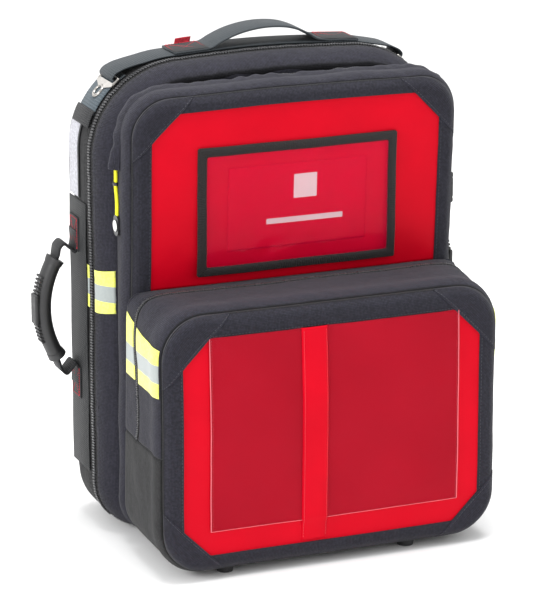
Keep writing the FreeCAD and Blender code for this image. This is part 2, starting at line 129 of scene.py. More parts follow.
def addMath(tree, operation, a, b=0.5):
    node = tree.nodes.new("ShaderNodeMath")
    node.operation = operation
    for place, value in ((0, a), (1, b)):
        if isinstance(value, (int, float)):
            node.inputs[place].default_value = value
        else:
            tree.links.new(value, node.inputs[place])
    return node.outputs[0]


def addMix(tree, amount, a, b):
    # a colour between a and b
    node = tree.nodes.new("ShaderNodeMix")
    node.data_type = "RGBA"
    for place, value in ((0, amount), (6, a), (7, b)):
        if isinstance(value, (int, float)):
            node.inputs[place].default_value = value
        elif isinstance(value, tuple):
            node.inputs[place].default_value = (*value, 1)
        else:
            tree.links.new(value, node.inputs[place])
    return node.outputs[2]


def objectPlace(tree):
    return tree.nodes.new("ShaderNodeTexCoord").outputs["Object"]


def clothPlace(tree):
    return addNode(tree, "ShaderNodeUVMap", uv_map="weave").outputs[0]


def addNoise(tree, where, size, detail=2.0):
    # noise whose blotches are about size metres across
    node = addNode(tree, "ShaderNodeTexNoise", Scale=1.0 / size, Detail=detail)
    tree.links.new(where, node.inputs["Vector"])
    return node.outputs[0]


def addWave(tree, where, direction, period):
    # sine bands, one every period metres
    node = addNode(tree, "ShaderNodeTexWave", wave_type="BANDS", bands_direction=direction,
                   Scale=0.314159 / period, Distortion=0.0)
    tree.links.new(where, node.inputs["Vector"])
    return node.outputs[1]


def addBump(tree, height, distance, strength, below=None):
    node = addNode(tree, "ShaderNodeBump", Strength=strength, Distance=distance)
    tree.links.new(height, node.inputs["Height"])
    if below is not None:
        tree.links.new(below, node.inputs["Normal"])
    return node.outputs[0]


def darker(colour, by):
    return tuple(c * by for c in colour)


def blotched(tree, place, size, detail, colour, low, high):
    # the colour varying between two shades of itself in blotches
    return addMix(tree, addNoise(tree, place, size, detail), darker(colour, low), darker(colour, high))


def tune(shader, normal, specular=None, sheen=None):
    # the shader's bump and, where they differ from its own, its specular level and sheen
    tree = shader.id_data
    tree.links.new(normal, shader.inputs["Normal"])
    for name, value in (("Specular IOR Level", specular), ("Sheen Weight", sheen)):
        if value is not None:
            shader.inputs[name].default_value = value


def unevenGloss(tree, shader, place, size, low, reach):
    # roughness from low up to low + reach, in small blotches
    gloss = addMath(tree, "MULTIPLY_ADD", addNoise(tree, place, size, 4), reach)
    gloss.node.inputs[2].default_value = low
    tree.links.new(gloss, shader.inputs["Roughness"])


def wovenMaterial(name, colour, thread, roughness=0.85, sheen=0.08, grain=0.32):
    # cross-woven yarn: two sets of bands multiplied, with blotches, lint, paler rubbed edges and painted
    # shade in seams
    material, tree, shader = newMaterial(name, colour, roughness)
    cloth = clothPlace(tree)
    place = objectPlace(tree)
    warp = addWave(tree, cloth, "X", thread)
    weft = addWave(tree, cloth, "Y", thread)
    weave = addMath(tree, "MULTIPLY", warp, weft)
    lint = addNoise(tree, place, 0.0026, 2)
    base = blotched(tree, place, 0.07, 3, colour, 0.82, 1.22)
    yarn = addMath(tree, "MULTIPLY", weave, 0.6)
    base = addMix(tree, yarn, base, darker(colour, 2.4))
    speck = addMath(tree, "SUBTRACT", addMath(tree, "MULTIPLY", lint, 4.0), 1.5)
    base = addMix(tree, speck, darker(colour, 1 - grain), base)
    wearAndShadeFac = addNode(tree, "ShaderNodeAttribute", attribute_name="wear_and_shade").outputs["Fac"]
    rubAndShade = addMath(tree, "MULTIPLY", wearAndShadeFac, addNoise(tree, place, 0.012, 3))
    base = addMix(tree, rubAndShade, base, darker(colour, 2.0))
    # painted shade: where the attribute is negative the cloth is darkened towards near black, in seams and
    # creases
    base = addMix(tree, addMath(tree, "MULTIPLY", wearAndShadeFac, -1.0), base, darker(colour, 0.12))
    tree.links.new(base, shader.inputs["Base Color"])
    fine = addBump(tree, weave, 0.0006, 0.8)
    soft = addBump(tree, addNoise(tree, place, 0.02, 3), 0.0045, 0.5, fine)
    tune(shader, soft, 0.3, sheen)
    shader.inputs["Sheen Roughness"].default_value = 0.4
    return material


def ribbedMaterial(name, colour, rib, roughness=0.6, across=0.0):
    # webbing: ribs across the strap, with fainter lines along it
    material, tree, shader = newMaterial(name, colour, roughness)
    cloth = clothPlace(tree)
    ribs = addWave(tree, cloth, "Y", rib)
    lines = addWave(tree, cloth, "X", across or rib * 1.6)
    both = addMath(tree, "MULTIPLY", ribs, lines)
    base = blotched(tree, objectPlace(tree), 0.03, 4, colour, 0.8, 1.2)
    base = addMix(tree, addMath(tree, "MULTIPLY", both, 0.7), base, darker(colour, 2.1))
    tree.links.new(base, shader.inputs["Base Color"])
    tune(shader, addBump(tree, both, 0.0010, 0.9), 0.3, 0.05)
    return material


def coatedMaterial(name, colour, roughness, emboss=0.0011):
    # coated fabric: a faint embossed grid, slow waves and uneven gloss
    material, tree, shader = newMaterial(name, colour, roughness)
    place = objectPlace(tree)
    cloth = clothPlace(tree)
    grid = addMath(tree, "MULTIPLY", addWave(tree, cloth, "X", emboss),
                   addWave(tree, cloth, "Y", emboss))
    base = blotched(tree, place, 0.055, 3, colour, 0.86, 1.08)
    tree.links.new(base, shader.inputs["Base Color"])
    unevenGloss(tree, shader, place, 0.02, roughness - 0.12, 0.25)
    fine = addBump(tree, grid, 0.0002, 0.25)
    soft = addBump(tree, addNoise(tree, place, 0.045, 2), 0.004, 0.3, fine)
    tune(shader, soft, 0.07)
    return material


def filmMaterial(name, colour, roughness, alpha, wrinkle, coat):
    # plasticised film: thin wrinkles in both directions over what lies under it
    material, tree, shader = newMaterial(name, colour, roughness)
    place = objectPlace(tree)
    creases = addNode(tree, "ShaderNodeTexNoise", Scale=16.0, Detail=3.0, Distortion=1.6)
    tree.links.new(place, creases.inputs["Vector"])
    ridge = addMath(tree, "ABSOLUTE", addMath(tree, "SUBTRACT", creases.outputs[0], 0.5))
    tree.links.new(blotched(tree, place, 0.09, 3, colour, 0.72, 1.28), shader.inputs["Base Color"])
    slow = addBump(tree, addNoise(tree, place, 0.04, 1), wrinkle, 0.35)
    if coat:
        slow = addBump(tree, ridge, wrinkle * 0.5, 0.35, slow)
    tune(shader, slow, 0.05)
    shader.inputs["Alpha"].default_value = alpha
    shader.inputs["Coat Weight"].default_value = coat
    shader.inputs["Coat Roughness"].default_value = 0.12
    return material


def bandMaterial(name, low, high):
    # reflective band: a silver middle between two fluorescent edges, split by height
    material, tree, shader = newMaterial(name, (0.6, 0.65, 0.64), 0.45)
    height = addNode(tree, "ShaderNodeSeparateXYZ")
    tree.links.new(objectPlace(tree), height.inputs[0])
    share = addNode(tree, "ShaderNodeMapRange")
    share.inputs[1].default_value = low * mm
    share.inputs[2].default_value = high * mm
    tree.links.new(height.outputs[2], share.inputs[0])
    ramp = addNode(tree, "ShaderNodeValToRGB")
    ramp.color_ramp.interpolation = "CONSTANT"
    stops = ramp.color_ramp.elements
    yellow = (0.93, 0.95, 0.10, 1)
    stops[0].position = 0
    stops[0].color = yellow
    stops[1].position = 0.31
    stops[1].color = (0.30, 0.335, 0.335, 1)
    stops.new(0.69).color = yellow
    tree.links.new(share.outputs[0], ramp.inputs[0])
    cells = addNode(tree, "ShaderNodeTexVoronoi", Scale=420.0)
    tree.links.new(clothPlace(tree), cells.inputs["Vector"])
    speckle = addMath(tree, "MULTIPLY", cells.outputs[0], 0.35)
    base = addMix(tree, speckle, ramp.outputs[0], (0.4, 0.43, 0.40))
    tree.links.new(base, shader.inputs["Base Color"])
    tune(shader, addBump(tree, cells.outputs[0], 0.0003, 0.3), sheen=0.2)
    return material


def mouldedMaterial(name, colour, roughness, grain=0.0009, metallic=0.0, bump=0.25):
    # moulded or cast finish: fine grain, uneven gloss and paler handled spots
    material, tree, shader = newMaterial(name, colour, roughness, metallic)
    place = objectPlace(tree)
    tree.links.new(blotched(tree, place, 0.018, 4, colour, 0.8, 1.25), shader.inputs["Base Color"])
    unevenGloss(tree, shader, place, 0.006, max(0.02, roughness - 0.15), 0.3)
    tune(shader, addBump(tree, addNoise(tree, place, grain, 2), 0.0002, bump))
    return material


def meshMaterial(name, colour):
    # spacer mesh: small round cells pressed into a knitted face
    material, tree, shader = newMaterial(name, colour, 0.85)
    cells = addNode(tree, "ShaderNodeTexVoronoi", Scale=260.0)
    tree.links.new(objectPlace(tree), cells.inputs["Vector"])
    base = addMix(tree, cells.outputs[0], darker(colour, 0.35), darker(colour, 1.5))
    tree.links.new(base, shader.inputs["Base Color"])
    tune(shader, addBump(tree, cells.outputs[0], 0.0012, 0.8), sheen=0.2)
    return material


addCamera()
addRoom()
print("camera, light and floor ready")

finish = {
    "charcoal": wovenMaterial("charcoal_nylon", (0.0165, 0.0160, 0.0250), 0.0016),
    "grey": wovenMaterial("grey_nylon", (0.0155, 0.0155, 0.0165), 0.0016),
    "red": coatedMaterial("red_tarpaulin", (0.60, 0.0006, 0.0125), 0.42),
    "frosted": filmMaterial("frosted_film", (0.36, 0.010, 0.026), 0.45, 0.5, 0.002, 0.0),
    "clear": filmMaterial("clear_film", (0.80, 0.003, 0.07), 0.22, 0.22, 0.012, 0.42),
    "slate": ribbedMaterial("slate_webbing", (0.026, 0.032, 0.037), 0.0026),
    "darkWeb": ribbedMaterial("dark_webbing", (0.012, 0.0125, 0.014), 0.0022),
    "binding": ribbedMaterial("black_binding", (0.012, 0.0095, 0.0095), 0.0016, 0.6),
    "zipTape": ribbedMaterial("zipper_tape", (0.0045, 0.0045, 0.005), 0.0014, 0.7),
    "coil": mouldedMaterial("zipper_coil", (0.035, 0.035, 0.038), 0.28),
    "blackThread": mouldedMaterial("black_thread", (0.02, 0.02, 0.022), 0.6),
    "greyThread": mouldedMaterial("grey_thread", (0.075, 0.075, 0.085), 0.7),
    "redThread": mouldedMaterial("red_thread", (0.62, 0.01, 0.03), 0.55),
    "label": wovenMaterial("pale_label", (0.46, 0.46, 0.50), 0.0016, 0.6, 0.1, 0.15),
    "paleThread": mouldedMaterial("pale_weld", (0.62, 0.11, 0.14), 0.4),
    "card": coatedMaterial("card_paper", (0.60, 0.0008, 0.016), 0.6, 0.0008),
    "print": coatedMaterial("card_print", (0.72, 0.74, 0.76), 0.6, 0.0008),
    "nickel": mouldedMaterial("nickel", (0.36, 0.345, 0.325), 0.3, 0.0015, 1.0, 0.15),
    "blackMetal": mouldedMaterial("black_metal", (0.05, 0.05, 0.055), 0.35, 0.001, 0.8),
    "rubber": mouldedMaterial("grip_rubber", (0.017, 0.017, 0.018), 0.5),
    "plastic": mouldedMaterial("black_plastic", (0.018, 0.018, 0.02), 0.3),
    "yellowCord": ribbedMaterial("yellow_cord", (0.80, 0.78, 0.02), 0.0014, 0.6),
    "mesh": meshMaterial("spacer_mesh", (0.030, 0.030, 0.032)),
    "stay": mouldedMaterial("stay_aluminium", (0.6, 0.6, 0.62), 0.35, 0.002, 1.0),
    "board": mouldedMaterial("frame_plastic", (0.05, 0.05, 0.055), 0.5),
    "ladder": ribbedMaterial("ladder_webbing", (0.050, 0.066, 0.078), 0.0034, across=0.0034),
    "darkSlate": ribbedMaterial("dark_slate_webbing", (0.0105, 0.0115, 0.0125), 0.0024),
    "redLabel": wovenMaterial("red_label", (0.42, 0.010, 0.025), 0.0010, 0.7),
    "white": mouldedMaterial("white_plastic", (0.78, 0.78, 0.76), 0.35),
}


# ---- mesh helpers, all lengths in millimetres until the mesh is filled
def nodeBox(name):
    low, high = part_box(name)
    return [v / mm for v in low], [v / mm for v in high]


def ripple(s, t, length, seed, count=7):
    # plane waves with fixed random directions and phases, added up: about -1 to 1
    rng = np.random.default_rng(seed)
    total = np.zeros(np.broadcast(s, t).shape)
    for _ in range(count):
        angle, stretch, phase = rng.uniform(0, 2 * math.pi), rng.uniform(0.7, 1.6), rng.uniform(0, 2
                                                                                                * math.pi)
        total += np.sin(2 * math.pi / (length * stretch) * (s * math.cos(angle) + t * math.sin(angle))
                        + phase)
    return total / math.sqrt(2 * count)


def ease(value, low, high):
    # 0 below low, 1 above high, smooth between
    share = np.clip((value - low) / (high - low), 0, 1)
    return share * share * (3 - 2 * share)


def gridFaces(rows, columns, closed=False, offset=0):
    # quads between neighbouring rows and columns, turned to face along (column step) x (row step)
    i = np.arange(rows - 1)[:, None]
    j = np.arange(columns if closed else columns - 1)[None, :]
    k = (j + 1) % columns
    faces = np.stack([i * columns + j, i * columns + k, (i + 1) * columns + k, (i + 1) * columns + j],
                     axis=2)
    return faces.reshape(-1, 4) + offset


def gridUv(points, closed=False):
    # mean length run along the columns and down the rows, in metres
    wide = np.concatenate([points, points[:, :1]], axis=1) if closed else points
    across = np.linalg.norm(np.diff(wide, axis=1), axis=2).mean(axis=0)
    down = np.linalg.norm(np.diff(points, axis=0), axis=2).mean(axis=1)
    u = np.concatenate([[0], np.cumsum(across)]) * mm
    v = np.concatenate([[0], np.cumsum(down)]) * mm
    i = np.arange(points.shape[0] - 1)[:, None]
    j = np.arange(len(u) - 1)[None, :]
    corners = [(i, j), (i, j + 1), (i + 1, j + 1), (i + 1, j)]
    sets = [np.stack(np.broadcast_arrays(u[b], v[a]), axis=2) for a, b in corners]
    return np.stack(sets, axis=2).reshape(-1, 2)


def makePiece(name, points, faces, material, uv=None, wear_and_shade=None):
    # points (n, 3) in millimetres; faces is a list of index arrays, each (m, corners)
    mesh = bpy.data.meshes.new(name)
    corners = np.concatenate([f.reshape(-1) for f in faces]).astype(np.int32)
    sizes = np.concatenate([np.full(len(f), f.shape[1]) for f in faces])
    starts = np.concatenate([[0], np.cumsum(sizes)[:-1]]).astype(np.int32)
    mesh.vertices.add(len(points))
    mesh.vertices.foreach_set("co", (np.asarray(points) * mm).astype(np.float32).ravel())
    mesh.loops.add(len(corners))
    mesh.loops.foreach_set("vertex_index", corners)
    mesh.polygons.add(len(sizes))
    mesh.polygons.foreach_set("loop_start", starts)
    mesh.polygons.foreach_set("use_smooth", np.ones(len(sizes), bool))
    if uv is not None:
        mesh.uv_layers.new(name="weave").data.foreach_set("uv", uv.astype(np.float32).ravel())
    if wear_and_shade is not None:
        mesh.attributes.new("wear_and_shade", "FLOAT", "POINT").data.foreach_set("value",
                                                                       wear_and_shade.astype(np.float32).ravel())
    mesh.update(calc_edges=True)
    mesh.validate()
    mesh.materials.append(material)
    piece = bpy.data.objects.new(name, mesh)
    bpy.context.scene.collection.objects.link(piece)
    return piece


def surfacePiece(name, points, material, closed=False, wear_and_shade=None, thickness=0.0):
    # a grid of points (rows, columns, 3); thickness adds cloth on the inner side
    rows, columns = points.shape[:2]
    faces = gridFaces(rows, columns, closed)
    piece = makePiece(name, points.reshape(-1, 3), [faces], material, gridUv(points, closed), wear_and_shade)
    if thickness:
        thicken(piece, thickness)
    return piece


def thicken(piece, by):
    cloth = piece.modifiers.new("cloth", "SOLIDIFY")
    cloth.thickness = by * mm
    cloth.offset = -1
    cloth.use_even_offset = False


def filledRows(halfWidths, heights, columns):
    # X and Z of a grid with a row at each height, as wide as the half width there
    x = halfWidths[:, None] * np.linspace(-1, 1, columns)[None]
    return x, heights[:, None] + 0 * x


def gridPart(points):
    return points.reshape(-1, 3), [gridFaces(*points.shape[:2])], gridUv(points)


def partsPiece(name, parts, colour):
    # one piece of several (points, faces, uv) parts
    points, faces, uv = joinParts(parts)
    return makePiece(name, points, faces, finish[colour], uv)


def ringOf(sizes, spacing):
    # t values right round an outline, the start not repeated
    return loopSamples(sizes, spacing)[0][:-1]


def dress(piece, slot, moves, *replaced):
    # what the piece is made of (not used), what it moves with (a body, or a function that bakes its
    # placement into its mesh), the nodes it stands for
    if replaced:
        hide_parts(*replaced)
    if callable(moves):
        moves(piece)
    else:
        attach(piece, moves)


def signedVolume(points, quads):
    a, b, c, d = (points[quads[:, k]] for k in range(4))
    return (np.einsum("ij,ij->i", a, np.cross(b, c)) + np.einsum("ij,ij->i", a, np.cross(c, d))).sum()


def sweep(path, side, section, closed=False):
    # a section (k, 2) carried along a path (n, 3); section x runs along side, y along side x direction
    path = np.asarray(path, float)
    if closed:
        along = np.roll(path, -1, axis=0) - np.roll(path, 1, axis=0)
    else:
        along = np.gradient(path, axis=0)
    along = unit(along)
    side = np.broadcast_to(np.asarray(side, float), path.shape)
    side = unit(side - (side * along).sum(axis=1)[:, None] * along)
    up = np.cross(side, along)
    return path[:, None] + section[None, :, :1] * side[:, None] + section[None, :, 1:] * up[:, None]


def closedSweep(path, side, section, closed=False):
    # the swept tube with flat ends, its faces turned outwards: points, list of face arrays, uv
    grid = sweep(path, side, section, closed)
    rows, columns = grid.shape[:2]
    if closed:
        grid = np.concatenate([grid, grid[:1]])
        rows += 1
    points = grid.reshape(-1, 3)
    quads = gridFaces(rows, columns, True)
    uv = gridUv(grid, True)
    faces = [quads]
    if not closed:
        faces += endFaces(rows, columns)
        uv = np.concatenate([uv, np.zeros((2 * columns, 2))])
    if signedVolume(points - points.mean(axis=0), quads) < 0:
        faces = [f[:, ::-1] for f in faces]
        uv = flipCorners(uv, faces)
    return points, faces, uv


def endFaces(rows, columns):
    return [np.arange(columns)[None, ::-1], (rows - 1) * columns + np.arange(columns)[None, :]]


def flipCorners(uv, faces):
    # the uv of each face in reverse order, to follow faces that were turned over
    done = []
    at = 0
    for f in faces:
        count = f.size
        done.append(uv[at:at + count].reshape(len(f), f.shape[1], 2)[:, ::-1].reshape(-1, 2))
        at += count
    return np.concatenate(done)


def joinParts(parts):
    # several (points, faces, uv) into one
    points = []
    faces = []
    uvs = []
    offset = 0
    for p, fs, uv in parts:
        points.append(p)
        for f in fs:
            faces.append(f + offset)
        uvs.append(uv)
        offset += len(p)
    return np.concatenate(points), faces, np.concatenate(uvs)


def flatSection(width, thick, edge=0.35):
    # the outline of a strap: a flat oval with square-ish edges
    w = width / 2
    t = thick / 2
    c = min(t, w) * edge
    return np.array([(-w, -t + c), (-w + c, -t), (0, -t), (w - c, -t), (w, -t + c), (w, t - c), (w - c, t),
                     (0, t), (-w + c, t), (-w, t - c)])


def roundSection(radius):
    a = np.linspace(0, 2 * math.pi, 8, endpoint=False)
    return np.stack([radius * np.cos(a), radius * np.sin(a)], axis=1)


def lengthRun(path, closed=False):
    # the path, joined up if it is closed, and the length run to each of its points
    path = np.asarray(path, float)
    if closed:
        path = np.concatenate([path, path[:1]])
    return path, np.concatenate([[0], np.cumsum(np.linalg.norm(np.diff(path, axis=0), axis=1))])


def atRun(s, run, values):
    return np.stack([np.interp(s, run, values[:, k]) for k in range(3)], axis=1)


def unit(vectors):
    return vectors / np.linalg.norm(vectors, axis=1)[:, None]


def alongPath(path, spacing, closed=False, skip=0.0):
    # points every spacing along a path, with their directions
    path, run = lengthRun(path, closed)
    count = max(1, int((run[-1] - 2 * skip) / spacing))
    s = skip + (np.arange(count) + 0.5) * (run[-1] - 2 * skip) / count
    return atRun(s, run, path), unit(atRun(s + 0.5, run, path) - atRun(s - 0.5, run, path)), s


def interpVectors(vectors, path, s, closed=False):
    return unit(atRun(s, lengthRun(path, closed)[1], lengthRun(vectors, closed)[0]))


stitchShape = np.array([(-1, 0, 0), (-0.6, -1, 0), (-0.6, 0, 1), (-0.6, 1, 0), (0.6, -1, 0), (0.6, 0, 1),
                        (0.6, 1, 0), (1, 0, 0)])
stitchQuads = np.array([(1, 4, 5, 2), (2, 5, 6, 3), (3, 6, 4, 1)])
stitchTris = np.array([(0, 1, 2), (0, 2, 3), (0, 3, 1), (7, 5, 4), (7, 6, 5), (7, 4, 6)])


def copiesAt(shape, quads, tris, at, along, normal, size):
    # the same small shape at each point: x along the path, z along the normal
    side = unit(np.cross(normal, along))
    up = np.cross(along, side)
    frameAxes = np.stack([along * size[0], side * size[1], up * size[2]], axis=1)
    points = (np.einsum("kc,ncd->nkd", shape, frameAxes) + at[:, None]).reshape(-1, 3)
    offsets = (np.arange(len(at)) * len(shape))[:, None, None]
    faces = [(quads[None] + offsets).reshape(-1, quads.shape[1])]
    if tris is not None:
        faces.append((tris[None] + offsets).reshape(-1, 3))
    corners = sum(f.size for f in faces)
    return points, faces, np.zeros((corners, 2))


def stitchRow(path, normals, pitch, length, width, closed=False, skip=1.0):
    # a row of short threads lying on a seam
    at, along, s = alongPath(path, pitch, closed, 0 if closed else skip)
    normal = interpVectors(np.broadcast_to(normals, np.shape(path)), path, s, closed)
    return copiesAt(stitchShape, stitchQuads, stitchTris, at + normal * 0.15, along, normal,
                    (length / 2, width / 2, width * 0.6))


cubeShape = np.array([(x, y, z) for x in (-1, 1) for y in (-1, 1) for z in (-1, 1)], float)
cubeQuads = np.array([(0, 1, 3, 2), (4, 6, 7, 5), (0, 4, 5, 1), (2, 3, 7, 6), (0, 2, 6, 4), (1, 5, 7, 3)])


# ---- rounded outlines: nine runs, from the bottom middle to the right, up, over and down the left
def loopPoint(sizes, t):
    # place and outward direction at t (0 to 9) on a rounded rectangle; sizes may be arrays
    halfWidth, low, high, top, bottom = sizes
    t = np.asarray(t, float)
    part = np.minimum(np.floor(t), 8).astype(int)
    f = t - part
    quarter = f * math.pi / 2
    zero = np.zeros(np.broadcast(halfWidth, t).shape)
    rightX = halfWidth - top
    rightB = halfWidth - bottom
    sideLow = low + bottom
    sideHigh = high - top
    c = np.cos(quarter)
    s = np.sin(quarter)
    runs = [
        (f * rightB, low, 0, -1), (rightB + bottom * s, sideLow - bottom * c, s, -c),
        (halfWidth, sideLow + f * (sideHigh - sideLow), 1, 0),
        (rightX + top * c, sideHigh + top * s, c, s), (rightX * (1 - 2 * f), high, 0, 1),
        (-rightX - top * s, sideHigh + top * c, -s, c),
        (-halfWidth, sideHigh - f * (sideHigh - sideLow), -1, 0),
        (-rightB - bottom * c, sideLow - bottom * s, -c, -s), (-rightB * (1 - f), low, 0, -1)]
    inPart = [part == n for n in range(9)]
    return [np.select(inPart, [zero + run[k] for run in runs]) for k in range(4)]


def loopRuns(sizes):
    halfWidth, low, high, top, bottom = sizes
    side = high - top - low - bottom
    quarterB = math.pi / 2 * bottom
    quarterT = math.pi / 2 * top
    lengths = [halfWidth - bottom, quarterB, side, quarterT, 2 * (halfWidth - top), quarterT, side, quarterB,
               halfWidth - bottom]
    return np.concatenate([[0], np.cumsum(lengths)])


def loopSamples(sizes, spacing, start=0.0, stop=9.0):
    # evenly spaced t values, and the length run to each
    runs = loopRuns(sizes)
    s0, s1 = np.interp([start, stop], np.arange(10), runs)
    s = np.linspace(s0, s1, max(2, int(round((s1 - s0) / spacing))) + 1)
    return np.interp(s, runs, np.arange(10)), s


def heightToLoop(sizes, z):
    # the t value on the right side where the outline reaches height z
    halfWidth, low, high, top, bottom = sizes
    if z < low + bottom:
        return 1 + math.acos((low + bottom - z) / bottom) / (math.pi / 2)
    if z > high - top:
        return 3 + math.asin(min(1, (z - high + top) / top)) / (math.pi / 2)
    return 2 + (z - low - bottom) / (high - top - low - bottom)


def edgeDistance(x, z, sizes):
    # how far inside the rounded rectangle a point lies
    halfWidth, low, high, top, bottom = sizes
    middle = (low + high) / 2
    radius = np.where(z > middle, top, bottom)
    qx = np.abs(x) - (halfWidth - radius)
    qz = np.abs(z - middle) - ((high - low) / 2 - radius)
    return radius - np.hypot(np.maximum(qx, 0), np.maximum(qz, 0)) - np.minimum(np.maximum(qx, qz), 0)


def widthAt(sizes, z):
    # half the width of the rounded rectangle at height z
    halfWidth, low, high, top, bottom = sizes
    over = np.clip(z - (high - top), 0, top)
    under = np.clip(low + bottom - z, 0, bottom)
    return halfWidth - top + np.sqrt(top**2 - over**2) - bottom + np.sqrt(bottom**2 - under**2)


def shrink(sizes, by):
    return (sizes[0] - by, sizes[1] + by, sizes[2] - by, sizes[3] - by, sizes[4] - by)


def betweenRows(grid, share):
    # for each column, the point that share of the way down the grid's rows
    last = len(grid) - 1
    k = np.clip(share * last, 0, last - 0.001)
    low = np.floor(k).astype(int)
    columns = np.arange(grid.shape[1])
    f = (k - low)[:, None]
    return grid[low, columns] * (1 - f) + grid[low + 1, columns] * f


# ---- main compartment: rear shell and lid
shellBox = nodeBox("rear_shell_gusset")
lidBox = nodeBox("lid_panel")
main = {"topRadius": 92.0, "bottomRadius": 50.0, "lidTopRadius": 75.0, "lidBottomRadius": 40.0, "swell": 2.2,
        "crown": 6.0, "lidBulge": 3.4, "tuck": 9.0, "tuckRun": 28.0, "pucker": 0.35, "spacing": 3.4,
        "cloth": 1.6}
partingY = nodeBox("main_zipper_shell_side")[0][1] - 0.2
shellBackY = shellBox[1][1]
lidFrontY = lidBox[0][1] + 2
shellSizes = (shellBox[1][0], shellBox[0][2], shellBox[1][2], main["topRadius"], main["bottomRadius"])
lidSizes = (lidBox[1][0], lidBox[0][2], lidBox[1][2], main["lidTopRadius"], main["lidBottomRadius"])


def crownLift(x, z):
    # the top edge rises towards the middle of the pack
    return main["crown"] * np.cos(np.clip(x / 170, -1, 1) * math.pi / 2) ** 2 * ease(z, 420, 495)


def shellWall(t, y, lift=0.0):
    # the outline at each depth y: swollen behind the zipper, rounding in to the lid's front edge before it
    y = np.asarray(y, float)[:, None]
    t = np.asarray(t, float)[None]
    share = np.clip((partingY - y) / (partingY - lidFrontY), 0, 1)
    sizes = [a + (b - a) * share**2.3 for a, b in zip(shellSizes, lidSizes)]
    x, z, nx, nz = loopPoint(sizes, t)
    behind = np.clip((y - partingY) / (shellBackY - partingY), 0, 1)
    out = main["swell"] * np.sin(math.pi * behind) + main["lidBulge"] * np.sin(math.pi * share)
    out = out - main["tuck"] * np.clip(1 - (shellBackY - y) / main["tuckRun"], 0, 1) ** 2
    run = np.interp(t, np.arange(10), loopRuns(shellSizes))
    near = np.exp(-np.abs(y - partingY) / 9) + np.exp(-np.abs(y - lidFrontY) / 7)
    out = out + main["pucker"] * near * ripple(run, y * 0.3, 19, 3) + 0.5 * ripple(run, y, 130, 4) + lift
    x, y, z = np.broadcast_arrays(x + out * nx, y, z + out * nz + crownLift(x, z))
    return np.stack([x, y, z], axis=2)


def outlineNormal(sizes, t):
    x, z, nx, nz = loopPoint(sizes, np.asarray(t, float))
    return np.stack([nx, 0 * nx, nz], axis=1)


def sideLoop(sizes, low, high, spacing, side):
    # t values up the right side, or down the left one, between two heights
    a, b = heightToLoop(sizes, low), heightToLoop(sizes, high)
    if side < 0:
        a, b = 9 - b, 9 - a
    return loopSamples(sizes, spacing, a, b)[0]


def buildMain():
    t = ringOf(shellSizes, main["spacing"])
    rear = surfacePiece("rear_shell_fabric", shellWall(t, np.linspace(shellBackY, partingY + 9.4, 24)),
                        finish["grey"], True, thickness=main["cloth"])
    dress(rear, "grey_nylon", "pack_body", "rear_shell_gusset")
    depth = np.concatenate([np.linspace(partingY - 7.4, lidFrontY, 18), [lidFrontY]])
    wall = shellWall(t, depth)
    wall[-1] = wall[-2] * (0.965, 1, 0.965) + (0, 1.5, 0.035 * 253)
    # rubbed wear a little behind the lid's front edge, and painted shade in the seam at the edge itself
    rubAndShade = 0.4 * np.exp(-np.abs(depth - lidFrontY - 7) / 4) - 0.9 * np.exp(-np.abs(depth - lidFrontY) / 2)
    rubAndShade = rubAndShade[:, None] + 0 * t
    lid = surfacePiece("lid_gusset_fabric", wall, finish["charcoal"], True, rubAndShade, main["cloth"])
    dress(lid, "charcoal_nylon", "lid", "lid_gusset")
    z = np.linspace(lidSizes[1] + 1, lidSizes[2] - 1, 90)
    x, zz = filledRows(widthAt(lidSizes, z) - 1, z, 70)
    y = lidFrontY + 0.8 + 0.5 * ripple(x, zz, 70, 21)
    panel = surfacePiece("lid_front_fabric", np.stack([x, y, zz + crownLift(x, zz)], axis=2),
                         finish["charcoal"],
                         thickness=1.5)
    dress(panel, "charcoal_nylon", "lid", "lid_panel")
    buildMainZipper(t)


zipper = {"tape": (8.6, 10.5), "toothPitch": 3.1, "tooth": (0.85, 2.3, 1.2), "reach": 1.9, "lift": 1.9,
          "low": 14.0}


def buildMainZipper(t):
    # two tapes meeting at the parting plane, each with a row of coil teeth that hook between the other's
    end = heightToLoop(shellSizes, zipper["low"])
    openRun = t[(t > end) & (t < 9 - end)]
    normal = outlineNormal(shellSizes, t)
    for side, part, body, node in ((1, "rear", "pack_body", "shell_side"), (-1, "front", "lid", "lid_side")):
        name = "main_zipper_" + part
        wide = zipper["tape"][side > 0]
        depths = partingY + side * np.array([wide, wide - 1.2, 5.4, 2.0, 0.4, 0.4])
        lifts = np.array([-1.0, 0.3, 0.5, 0.9, 0.9, -1.2])
        rows = np.stack([shellWall(t, [y], lift)[0] for y, lift in zip(depths, lifts)])
        tape = surfacePiece(name + "_tape", rows[::side], finish["zipTape"], True, thickness=0.7)
        dress(tape, "zipper_black", body, "main_zipper_" + node)
        line = shellWall(openRun, [partingY + side * zipper["reach"]], zipper["lift"])[0]
        at, along, s = alongPath(line, zipper["toothPitch"])
        at = at + along * (0.25 * side * zipper["toothPitch"])
        out = interpVectors(outlineNormal(shellSizes, openRun), line, s)
        coil = copiesAt(cubeShape, cubeQuads, None, at, along, out, zipper["tooth"])
        teeth = partsPiece(name + "_coil", [coil], "coil")
        soften(teeth, 0.35, 1)
        dress(teeth, "zipper_black", body)
        rows = []
        for y in (wide + 2.5, wide + 6.5):
            line = shellWall(t, [partingY + side * y], 0.25)[0]
            rows.append(stitchRow(line, normal, 5.0, 3.2, 0.5, True))
        thread = partsPiece(name + "_stitching", rows, "blackThread")
        dress(thread, "zipper_black", body)


def soften(piece, width, segments):
    bevel = piece.modifiers.new("edges", "BEVEL")
    bevel.width = width * mm
    bevel.segments = segments
    bevel.limit_method = "ANGLE"


